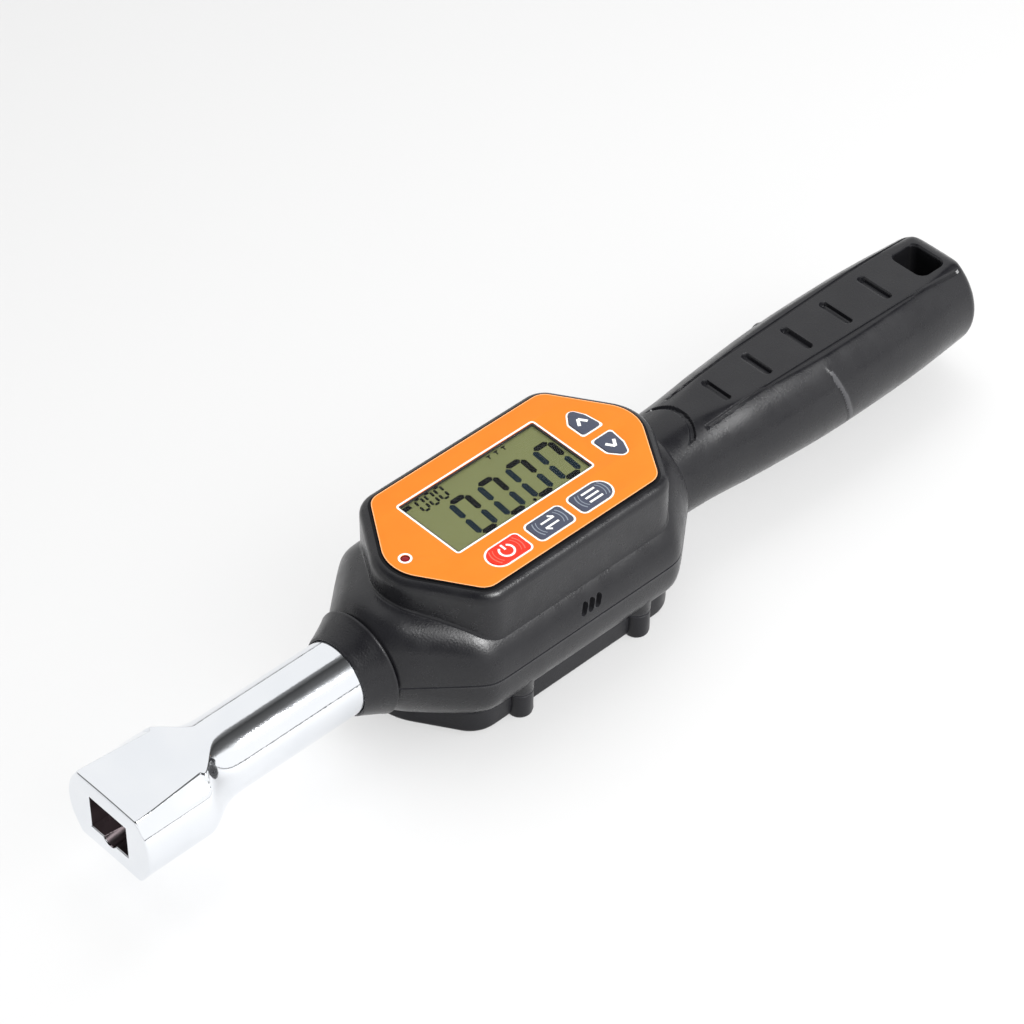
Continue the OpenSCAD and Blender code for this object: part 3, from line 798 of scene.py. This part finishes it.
def function_key(index, grow):
    """Plan outline of a function key: round at the row's ends and square inside it."""
    low, high = box_mm(KEY_NODES[index])
    flange = 0.55
    half_l = (high[0] - low[0]) / 2 - flange + grow
    half_w = (high[1] - low[1]) / 2 - flange + grow
    round_r, square_r = 2.65, 0.9
    left = round_r if index == 0 else square_r
    right = round_r if index == 2 else square_r
    outline = rounded([(half_l, half_w), (-half_l, half_w), (-half_l, -half_w), (half_l, -half_w)],
                      [right + grow, left + grow, left + grow, right + grow])
    return outline + np.array([(low[0] + high[0]) / 2, (low[1] + high[1]) / 2])


ARROW_X = 138.6
ARROW_Y = 0.5


def arrow_key(side, grow):
    """Plan outline of an arrow key: a rounded shield with its point away from the other key."""
    base, apex = 1.6 - grow, 9.6 + 1.6 * grow
    corners = [(-2.55 - grow, base), (2.6 + grow, base), (2 + grow, 6), (0.4, apex), (-2.55 - grow, 6.1)]
    outline = rounded(corners, [0.8, 0.8, 1.5, 1 + grow, 1.5])
    outline = outline * np.array([1, side]) + np.array([ARROW_X, ARROW_Y])
    return outline if side > 0 else outline[::-1]


def key_outline(index, grow):
    if index < 3:
        return function_key(index, grow)
    return arrow_key(1 if index == 3 else -1, grow)


def circle(centre, radius, steps=40):
    angle = full_turn(steps)
    return np.column_stack([centre[0] + radius * np.cos(angle), centre[1] + radius * np.sin(angle)])


def window_outline(grow):
    corner = 0.45 + max(grow, 0)
    x0, y0 = window_low[:2] - 0.05 - grow
    x1, y1 = window_high[:2] + 0.05 + grow
    return rounded([(x1, y1), (x0, y1), (x0, y0), (x1, y0)], [corner] * 4, 5)


LAMP = ((lamp_low[0] + lamp_high[0]) / 2, 0.0)


def face_holes(gap):
    """Openings through the face for the keys and the lamp."""
    holes = [key_outline(index, gap) for index in range(5)]
    holes.append(circle(LAMP, 1.05))
    return holes


def box_outline(half_l, half_w, radius, steps=8):
    """Rectangle about the origin with one radius at its corners."""
    corners = [(half_l, half_w), (-half_l, half_w), (-half_l, -half_w), (half_l, -half_w)]
    return rounded(corners, [radius] * 4, steps)


def vent_cutters():
    """Three slots that lean back, side by side, through the front wall."""
    vent_x, vent_z, pitch, lean = 113.55, 4.0, 2.05, math.radians(32)
    slot = box_outline(0.75, 1.6, 0.74)
    across = slot[:, 0] * math.cos(lean) + slot[:, 1] * math.sin(lean)
    up = slot[:, 1] * math.cos(lean) - slot[:, 0] * math.sin(lean)
    cutters = []
    for i in (-1, 0, 1):
        rings = [np.column_stack([vent_x + pitch * i + across, np.full(len(slot), y), vent_z + up])
                 for y in (-BODY_HALF - 1, -BODY_HALF + 5)]
        cutters.append(loft("vent_cutter", rings, "shell"))
    return cutters


def build_upper_housing():
    shell = half_shell("upper_skin", upper_section, 1)
    bezel = build_bezel()
    edge = face_outline(240)
    inner = edge - outward(edge) * 0.3
    plate_low = POCKET_Z - 1.8
    openings = face_holes(KEY_GAP) + [window_outline(-0.3)]
    floor = plate("face_plate", [inner] + openings, plate_low, POCKET_Z, "shell")
    cut(shell, vent_cutters())
    # Matt near-black ring that closes the gap behind the collar: painted shade in the gap
    x0, x1, inner_r, outer_r = NOSE_X + 0.05, NOSE_EDGE + 0.3, 9.2, 11.3
    seam = turned("nose_seam_shade", [(x0, inner_r), (x0, outer_r), (x1, outer_r), (x1, inner_r)], "rim")
    housing = join("upper_shell", [shell, bezel, floor, seam])
    place(housing, "black_plastic", "upper_housing")


def build_boss_top(x, y):
    """Upper half of a screw boss, a rounded post that grows out of the lower shell."""
    top, shoulder, reach = -2.2, -6.6, BOSS_R + 0.55
    low = SEAM_Z + 0.2
    profile = [(low, 0), (low, BOSS_R - 0.12), (low + 0.14, BOSS_R + 0.06), (low + 1.2, BOSS_R + 0.08),
               (low + 2.4, BOSS_R + 0.16), (low + 3.6, BOSS_R + 0.36), (shoulder, reach)]
    for t in quarter_turn(9)[1:]:
        profile.append((shoulder + (top - shoulder) * math.sin(t), reach * math.cos(t)))
    return turned("boss_top", profile, "shell", "z", (x, y), 64)


def build_lower_housing():
    pieces = [half_shell("lower_skin", lower_section, -1)]
    pieces += [build_boss_top(x, y) for x, y in BOSSES]
    housing = join("lower_shell", pieces)
    place(housing, "black_plastic", "lower_housing")


def build_boss_end(x, y):
    """Lower half of a screw boss on the cover, with its screw recess."""
    hole, depth = 2.0, 2.6
    low, high = BOSS_Z, SEAM_Z - 0.2
    profile = [(high, 0), (high, BOSS_R - 0.12), (high - 0.12, BOSS_R), (low + 0.9, BOSS_R - 0.05),
               (low + 0.32, BOSS_R - 0.2), (low, BOSS_R - 0.6), (low, hole + 0.15), (low + 0.15, hole),
               (low + depth, hole), (low + depth, 0)]
    return turned("boss_end", profile, "cover", "z", (x, y), 64)


def build_cover():
    outline = hexagon(COVER_HALF, (cover_high[0] - cover_low[0]) / 2, 8, 15)
    edge = resampled(outline + np.array([COVER_X, 0]), 300)
    normal = outward(edge)
    round_r, draft = 1.3, 0.15
    rings = [at_height(edge - normal * 0.12, SEAM_Z - 0.18), at_height(edge, SEAM_Z - 0.34)]
    for t in quarter_turn(7):
        inset = draft + round_r * (1 - math.cos(t))
        rings.append(at_height(edge - normal * inset, COVER_Z + round_r * (1 - math.sin(t))))
    pieces = [loft("cover_pan", rings, "cover")]
    pieces += [build_boss_end(x, y) for x, y in BOSSES]
    cover = join("cover_shell", pieces)
    place(cover, "black_plastic", "bottom_cover")


def build_label():
    """Orange film with a pale line at its edge, a painted highlight, and a near-black line round its side,
    painted shade.
    """
    edge = face_outline(240)
    normal = outward(edge)
    low = POCKET_Z + 0.01
    holes = face_holes(KEY_GAP) + [window_outline(0)]
    film = plate("face_film", [edge - normal * 0.3] + holes, low, LABEL_Z, "orange", 0.04)
    # Pale edge line: painted highlight on the film's rounded edge
    pale = plate("film_edge_highlight", [edge - normal * 0.1, edge - normal * 0.3], low, LABEL_Z, "film_edge_highlight")
    # Near-black side line: painted shade under the film's edge
    dark = plate("film_side_shade", [edge, edge - normal * 0.1], low, LABEL_Z - 0.06, "rim")
    place(join("label_film", [film, pale, dark]), "orange_film", "face_label")


def build_ink_lines():
    """White lines printed around the display, the keys and the lamp."""
    rings = {"ink_window": [window_outline(0.47), window_outline(0.02)],
             "ink_lamp": [circle(LAMP, 1.55), circle(LAMP, 1.08)]}
    for index in range(5):
        rings[f"ink_key_{index}"] = [key_outline(index, 0.62), key_outline(index, KEY_GAP + 0.02)]
    low, high = LABEL_Z - 0.02, LABEL_Z + 0.015
    lines = [plate(name, outlines, low, high, "white_ink") for name, outlines in rings.items()]
    place(join("ink_lines", lines), "white_plastic")


def build_keys():
    for index, (node, body) in enumerate(zip(KEY_NODES, KEY_BODIES)):
        paint = "red_key" if index == 0 else "grey_key"
        low, high = box_mm(node)
        cap_low = POCKET_Z - 1.85
        top = high[2] - 0.06
        cap = plate("key_cap", [key_outline(index, 0.11)], cap_low, top, paint, 0.12)
        pieces = [cap, build_stem(index, low, cap_low)]
        pieces += key_ridges(index, top)
        pieces.append(key_mark(index, top))
        key = join(body + "_cap", pieces)
        place(key, paint, node, body=body)


def build_stem(index, low, cap_low):
    """Flange under the face and stem down to the switch."""
    outline = key_outline(index, 0.5)
    centre = outline.mean(0)
    flange = plate("key_flange", [outline], cap_low - 0.45, cap_low + 0.02, "grey_key", 0.05)
    stem = turned("key_stem", [(low[2], 0), (low[2], 1.1), (low[2] + 0.1, 1.2), (cap_low, 1.2), (cap_low, 0)],
                  "grey_key", "z", tuple(centre), 32)
    return join("key_base", [flange, stem])


def arc_band(centre, radius, width, start, end, steps=16):
    """Thin curved band in plan."""
    angle = np.linspace(math.radians(start), math.radians(end), steps)
    ray = np.column_stack([np.cos(angle), np.sin(angle)])
    return np.vstack([ray * (radius + width / 2), ray[::-1] * (radius - width / 2)]) + centre


def key_centre(index):
    outline = key_outline(index, 0)
    return (outline.max(0) + outline.min(0)) / 2


def key_ridges(index, top):
    """Embossed arcs of the dome under each function key."""
    if index > 2:
        return []
    paint = "emboss_red" if index == 0 else "emboss"
    ridges = []
    for radius, width, spread in ((3.1, 0.22, 38), (3.9, 0.30, 33)):
        for middle in (0, 180):
            band = arc_band(key_centre(index), radius, width, middle - spread, middle + spread)
            ridges.append(plate("dome_ridge", [band], top - 0.05, top + 0.05, paint, 0.04))
    return ridges


def bar(start, end, width):
    """Straight stroke in plan, as a four-sided outline."""
    start, end = np.array(start, float), np.array(end, float)
    side = unit(end - start)[::-1] * np.array([-1, 1]) * width / 2
    return np.array([start - side, end - side, end + side, start + side])


def key_mark(index, top):
    """Plain symbol printed on a key."""
    c = key_centre(index)
    reach = 1.9
    strokes = []
    if index == 0:
        # Broken circle with a bar through the gap
        strokes.append(arc_band(c, 1.7, 0.5, -235, 55, 24))
        strokes.append(bar(c + (0, 0.4), c + (0, 2.1), 0.5))
    elif index == 1:
        # Two opposite half arrows
        for side in (-1, 1):
            y = 0.8 * side
            strokes.append(bar(c + (-reach, y), c + (reach, y), 0.48))
            strokes.append(bar(c + (1.85 * side, 0.85 * side), c + (0.8 * side, 1.8 * side), 0.48))
    elif index == 2:
        # Three lines
        for row in (-1, 0, 1):
            strokes.append(bar(c + (-reach, row * 1.4), c + (reach, row * 1.4), 0.52))
    else:
        # Chevron
        side = 1 if index == 3 else -1
        middle = np.array([ARROW_X - 0.1, ARROW_Y + side * 4.9])
        for x in (-1, 1):
            strokes.append(bar(middle + (x * 1.25, -side * 0.85), middle + (0, side * 1.0), 0.75))
    parts = [plate("key_symbol", [stroke], top - 0.02, top + 0.03, "white_ink") for stroke in strokes]
    return join("key_symbols", parts) if len(parts) > 1 else parts[0]


# Segments of a digit in a cell 1 wide and 2 tall: two end points each
SEGMENTS = {
    "top": ((0, 2), (1, 2)), "upper_left": ((0, 2), (0, 1)), "upper_right": ((1, 2), (1, 1)),
    "lower_left": ((0, 1), (0, 0)), "lower_right": ((1, 1), (1, 0)), "bottom": ((0, 0), (1, 0)),
}


def segment(corner, size, start, end, thick, gap):
    """One display segment: a bar with pointed ends, clear of its neighbours by a gap."""
    slant, point_run = 0.09, 0.42

    def in_plan(point):
        up = point[1] * size[1]
        return np.array([corner[0] + point[0] * size[0] + slant * up, corner[1] + up])

    a, b = in_plan(start), in_plan(end)
    along = unit(b - a)
    a, b = a + along * gap, b - along * gap
    side = np.array([-along[1], along[0]]) * thick / 2
    inset = along * thick * point_run
    return np.array([a, a + inset - side, b - inset - side, b, b - inset + side, a + inset + side])


def zero_digit(corner, size, thick, gap):
    """Outlines of a 0's segments, by name."""
    return {name: segment(corner, size, a, b, thick, gap) for name, (a, b) in SEGMENTS.items()}


def shade_display(material):
    """Darkens the glass beside the edge of its window, where the recess shades it."""
    spot = add_node(material, "ShaderNodeTexCoord", {}).outputs["Object"]
    split = add_node(material, "ShaderNodeSeparateXYZ", {"Vector": spot})
    gaps = []
    for axis, low, high in (("X", window_low[0], window_high[0]), ("Y", window_low[1], window_high[1])):
        gaps.append(node_math(material, "SUBTRACT", split.outputs[axis], low * MM))
        gaps.append(node_math(material, "SUBTRACT", high * MM, split.outputs[axis]))
    inside = gaps[0]
    for gap in gaps[1:]:
        inside = node_math(material, "MINIMUM", inside, gap)
    inside_mm = node_math(material, "MULTIPLY", inside, 1 / MM)
    shade = colour_ramp(material, inside_mm, [(0.0, 0.35), (0.5, 0.62), (0.9, 0.85), (1.0, 0.9)])
    base = material.node_tree.nodes["Principled BSDF"].inputs["Base Color"].links[0].from_socket
    set_shader(material, "Base Color", mixed(material, 1, base, shade, "MULTIPLY"))


def build_display():
    """Display glass with its digits and plain marks, and the clear window over them."""
    glass_top = LABEL_Z - 0.75
    shade_display(PAINTS["lcd"])
    glass = plate("display_glass", [window_outline(-0.02)], glass_top - 1.5, glass_top, "lcd")
    place(glass, "lcd_glass", "lcd_panel")
    ink_low, ink_high = glass_top - 0.01, glass_top + 0.03
    dark, soft = [], []
    # Large digits, whose switched segments differ in density, and the decimal point
    for x in (99.4, 107.6, 115.8, 124.0):
        for name, shape in zero_digit((x, -4.9), (4.5, 5.65), 1.5, 0.22).items():
            (dark if name in ("top", "bottom", "upper_right") else soft).append(shape)
    dark.append(circle((114.75, -5.0), 0.45, 16))
    # Small digits and the bar in front of them
    for x in (95.1, 97.85, 100.6):
        dark += zero_digit((x, 8.35), (1.7, 1.95), 0.62, 0.17).values()
    dark.append(bar((91.3, 11.6), (93.9, 11.6), 1.3))
    # Plain marks in a row near the top
    row_y, stroke = 11.9, 0.35
    for x in (116.2, 118.4, 120.6):
        dark.append(bar((x, row_y), (x + 1.1, row_y), stroke))
        dark.append(bar((x + 0.55, row_y), (x + 0.45, row_y - 1), stroke))
    marks = [plate("dark_segment", [s], ink_low, ink_high, "segment") for s in dark]
    marks += [plate("soft_segment", [s], ink_low, ink_high, "segment_soft") for s in soft]
    place(join("display_digits", marks), "lcd_glass")
    low, high = glass_top + 0.12, LABEL_Z - 0.05
    window = plate("display_window", [window_outline(-0.03)], low, high, "window", 0.05)
    place(window, "clear_window", "lcd_window")


def build_lamp():
    top, length, radius, dome = lamp_high[2], 4, 0.95, 0.35
    profile = [(top - length, 0), (top - length, radius)]
    for t in quarter_turn(8):
        profile.append((top - dome + dome * math.sin(t), radius * math.cos(t)))
    lamp = turned("lamp_lens", profile, "lamp", "z", LAMP, 48)
    place(lamp, "lamp_red", "indicator_led")


# ---- handle ----

# Radius of the handle at stations along it
GRIP_KNOTS = ((150, 12.2), (158, 12.25), (165, 12.5), (171, 13.0), (177, 13.6), (183, 14.0), (189, 14.4),
              (195, 14.75), (201, 15.0), (207, 15.1), (216, 15.1), (225, 15.0), (231, 14.8), (237, 14.5),
              (243, 14.1), (251, 13.6))


def grip_radius(x):
    """Radius of the handle, smoothed through its waist, belly and tapered end."""
    knots = np.array(GRIP_KNOTS)
    fine = np.arange(knots[0, 0], knots[-1, 0] + 0.01, 0.25)
    radius = np.interp(fine, knots[:, 0], knots[:, 1])
    reach = 16
    kernel = np.hanning(2 * reach + 1)
    kernel /= kernel.sum()
    smooth = np.convolve(np.pad(radius, reach, mode="edge"), kernel, "valid")
    into_end = np.clip((x - (GRIP_END - END_ROUND)) / END_ROUND, 0, 1)
    return np.interp(x, fine, smooth) - END_ROUND * (1 - np.sqrt(1 - into_end ** 2 * 0.999))


def panel_border(x):
    """Distance from the middle of the thumb panel to the groove along each side of it."""
    return 6.3 + 2.0 * np.clip((x - 164) / 82, 0, 1)


def top_angles(x):
    """Angles across the top of the handle, close together where they follow the panel's side grooves."""
    border = panel_border(x)
    side = PANEL_Z / math.tan(math.radians(50))
    outer, inner = border + 0.8, border - 0.8
    across = np.concatenate([np.linspace(side, outer + 0.1, 14), np.linspace(outer, inner, 25),
                             np.linspace(inner - 0.1, 0, 45)])
    across = np.concatenate([across, -across[-2::-1]])
    return np.arctan2(PANEL_Z, across)


def panel_marks(x, y):
    """Depth of the grooves cut in the thumb panel."""
    depth = np.zeros(np.shape(x))
    border = panel_border(x)
    along = smooth_step((x - 166) / 1.2) * smooth_step((248.5 - x) / 1.5)
    depth = np.maximum(depth, 0.45 * groove(np.abs(y) - border, 0.42, 0.14) * along)
    first, pitch = 175.7, 13.08
    for i in range(5):
        centre = first + pitch * i
        reach = 3.8 + 0.2 * i
        past = np.maximum(np.abs(y) - reach + 0.6, 0)
        distance = np.hypot(x - centre, past)
        depth = np.maximum(depth, 1.1 * groove(distance, 0.92, 0.2))
    # Arc at the front end of the panel
    arc_x, arc_r = 155.5, 9.0
    arc = groove(np.hypot(x - arc_x, y) - arc_r, 0.6, 0.2) * smooth_step((7.2 - np.abs(y)) / 0.8)
    return np.maximum(depth, 0.8 * arc * (x > 158))


def rib_centre(z):
    """Where the thin rib that leans back across each side stands, at a height."""
    return 204.3 - z * math.tan(math.radians(18))


def paint_grip(grip, hole_x, hole_l, hole_w):
    """Gives the rib a lighter grey and the inside of the hanging hole a near-black matt paint, painted shade
    in the hole.
    """
    def on_rib(spot, normal):
        x, y, z = spot
        return abs(x - rib_centre(z)) < 0.6 and -5 < z < 9.8 and abs(y) > 8

    # Near-black matt inside the hanging hole: painted shade
    def in_hole_shade(spot, normal):
        x, y, z = spot
        within = abs(x - hole_x) < hole_l / 2 + 0.1 and abs(y) < hole_w / 2 + 0.1
        return within and z < PANEL_Z - 0.5 and abs(normal.z) < 0.5

    paint_faces(grip, "rib", on_rib)
    paint_faces(grip, "rim", in_hole_shade)


def build_grip():
    rest = np.linspace(math.radians(130), math.radians(410), 85)[1:-1]
    x0 = grip_low[0]
    stations = np.concatenate([[x0], np.arange(x0 + 4, 157, 1.5), np.arange(157, GRIP_END - 2.8, 0.25),
                               GRIP_END - END_ROUND * (1 - np.sin(quarter_turn(14)))])
    # The thumb panel drops away at the end of the handle
    drop_run, drop_depth, panel_softness, far_out = 3.2, 1.5, 0.16, 99
    rib_height = 0.29
    rings = []
    for x in stations:
        angle = np.concatenate([top_angles(x), rest])
        full = np.full(len(angle), x)
        round_r = grip_radius(full)
        end_drop = np.clip((x - (GRIP_END - drop_run)) / drop_run, 0, 1) ** 2 * drop_depth
        panel = (PANEL_Z + 0.05 - end_drop) / np.maximum(np.sin(angle), 0.05)
        radius = soft_min([round_r, np.where(np.sin(angle) > 0.05, panel, far_out)], panel_softness)
        y, z = radius * np.cos(angle), radius * np.sin(angle)
        on_top = smooth_step((z - (PANEL_Z - 3)) / 0.6)
        z = z - panel_marks(full, y) * on_top
        # Thin rib that leans back across each side
        rib = groove(x - rib_centre(z), 0.6, 0.12) * smooth_step((10.6 - z) / 1.5) * smooth_step((z + 9) / 5)
        grow = 1 + rib_height * rib / np.hypot(y, z)
        rings.append(at_station(x, y * grow, z * grow))
    grip = loft("handle_grip", rings, "grip", sharp=40)
    hole_x, hole_l, hole_w = 242.8, 7.8, 10.2
    outline = box_outline(hole_l / 2, hole_w / 2, 2) + np.array([hole_x, 0])
    normal = outward(outline)
    # Heights through the hole, and how far its edge is rounded off at each
    flare = [(PANEL_Z + 2, 1.4), (PANEL_Z + 0.02, 0.42), (PANEL_Z - 0.25, 0.14), (PANEL_Z - 0.7, 0), (-20, 0)]
    rings = [at_height(outline + normal * grow, z) for z, grow in flare]
    cutter = loft("hole_cutter", rings, "grip")
    cut(grip, [cutter])
    paint_grip(grip, hole_x, hole_l, hole_w)
    place(grip, "grip_plastic", "grip")


# ---- studio ----

def aim(obj, target):
    direction = Vector(target) - obj.location
    obj.rotation_euler = direction.to_track_quat("-Z", "Y").to_euler()


def add_camera():
    """Camera that sees the wrench from above its socket end, as a long lens would."""
    centre = Vector((119.75, 7.44, 5.56)) * MM
    azimuth, elevation, distance = math.radians(-43.24), math.radians(43.36), 0.8118
    level = math.cos(elevation)
    away = Vector((math.sin(azimuth) * level, -math.cos(azimuth) * level, math.sin(elevation)))
    data = bpy.data.cameras.new("camera")
    data.lens = 130.05
    data.sensor_width = 36
    data.clip_start = 0.01
    data.clip_end = 20
    camera = add_object("camera", data)
    camera.location = centre + away * distance
    aim(camera, centre)
    bpy.context.scene.camera = camera


def add_area(name, place_m, target, size, power):
    """Square soft light turned towards a target."""
    data = bpy.data.lights.new(name, "AREA")
    data.energy = power
    data.size = size
    light = add_object(name, data)
    light.location = place_m
    aim(light, target)
    return light


def add_surround():
    """White surround with a dark gap overhead, along the tool, and a dark room behind its head."""
    world = bpy.data.worlds.new("studio")
    world.use_nodes = True
    spot = add_node(world, "ShaderNodeTexCoord", {}).outputs["Generated"]
    split = add_node(world, "ShaderNodeSeparateXYZ", {"Vector": spot})
    # Angle about the tool's axis: 0 at the front horizon, 1 at the back one
    front = node_math(world, "MULTIPLY", split.outputs["Y"], -1.0)
    around = node_math(world, "ARCTAN2", split.outputs["Z"], front)
    turn = node_math(world, "DIVIDE", around, math.pi)
    # The front border of the gap is ragged
    noise = add_node(world, "ShaderNodeTexNoise", {"Scale": 90, "Detail": 3, "Vector": spot}).outputs["Fac"]
    near_front = colour_ramp(world, turn, [(0.22, 0), (0.3, 1), (0.38, 1), (0.46, 0)])
    shift = node_math(world, "MULTIPLY", node_math(world, "SUBTRACT", noise, 0.5), 0.16)
    turn = node_math(world, "ADD", turn, node_math(world, "MULTIPLY", shift, near_front))
    gap = colour_ramp(world, turn, [(0.0, 0.1), (0.007, 0.1), (0.011, 1), (0.285, 1), (0.315, 0.3),
                                    (0.36, 0.12), (0.48, 0.05), (0.545, 0.22), (0.565, 0.9), (0.985, 0.9),
                                    (0.99, 0.1)])
    # The room is dark above the horizon on the head's side
    leftward = node_math(world, "MULTIPLY", split.outputs["X"], -1.0)
    past = node_math(world, "SUBTRACT", leftward, 0.2)
    high = node_math(world, "SUBTRACT", split.outputs["Z"], 0.25)
    head_side = colour_ramp(world, node_math(world, "MINIMUM", past, high), [(0.0, 1), (0.2, 0.15)])
    background = world.node_tree.nodes["Background"]
    set_input(world, background.inputs["Color"], mixed(world, 1, gap, head_side, "MULTIPLY"))
    set_input(world, background.inputs["Strength"], 1.12)
    bpy.context.scene.world = world


def add_studio():
    """Plain pale floor, a white surround and soft lights."""
    floor_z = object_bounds()[0][2]
    reach = 3.0
    corners = [(-reach, -reach, floor_z), (reach, -reach, floor_z), (reach, reach, floor_z),
               (-reach, reach, floor_z)]
    floor_mesh = bpy.data.meshes.new("floor")
    floor_mesh.from_pydata(corners, [], [(0, 1, 2, 3)])
    floor_mesh.materials.append(new_material("pale_floor", (0.67, 0.67, 0.67), 0.7))
    floor = add_object("floor", floor_mesh)
    add_surround()
    centre = (0.12, 0, 0)
    front = add_area("front_light", (0.40, -0.84, 0.96), centre, 0.42, 13)
    top = add_area("top_light", (0.15, -0.60, 1.1), centre, 0.5, 6)
    fill = add_area("fill_light", (0.12, 0, 1.5), centre, 2.0, 5)
    # The two strong lights cast no shadow, so that the one on the floor stays faint
    front.data.use_shadow = False
    top.data.use_shadow = False
    fill.visible_glossy = False
    bpy.context.scene.view_settings.view_transform = "Standard"


add_camera()
paint_nodes()
build_shaft()
build_collar()
build_upper_housing()
build_lower_housing()
build_cover()
build_label()
build_ink_lines()
build_keys()
build_display()
build_lamp()
build_grip()
add_studio()
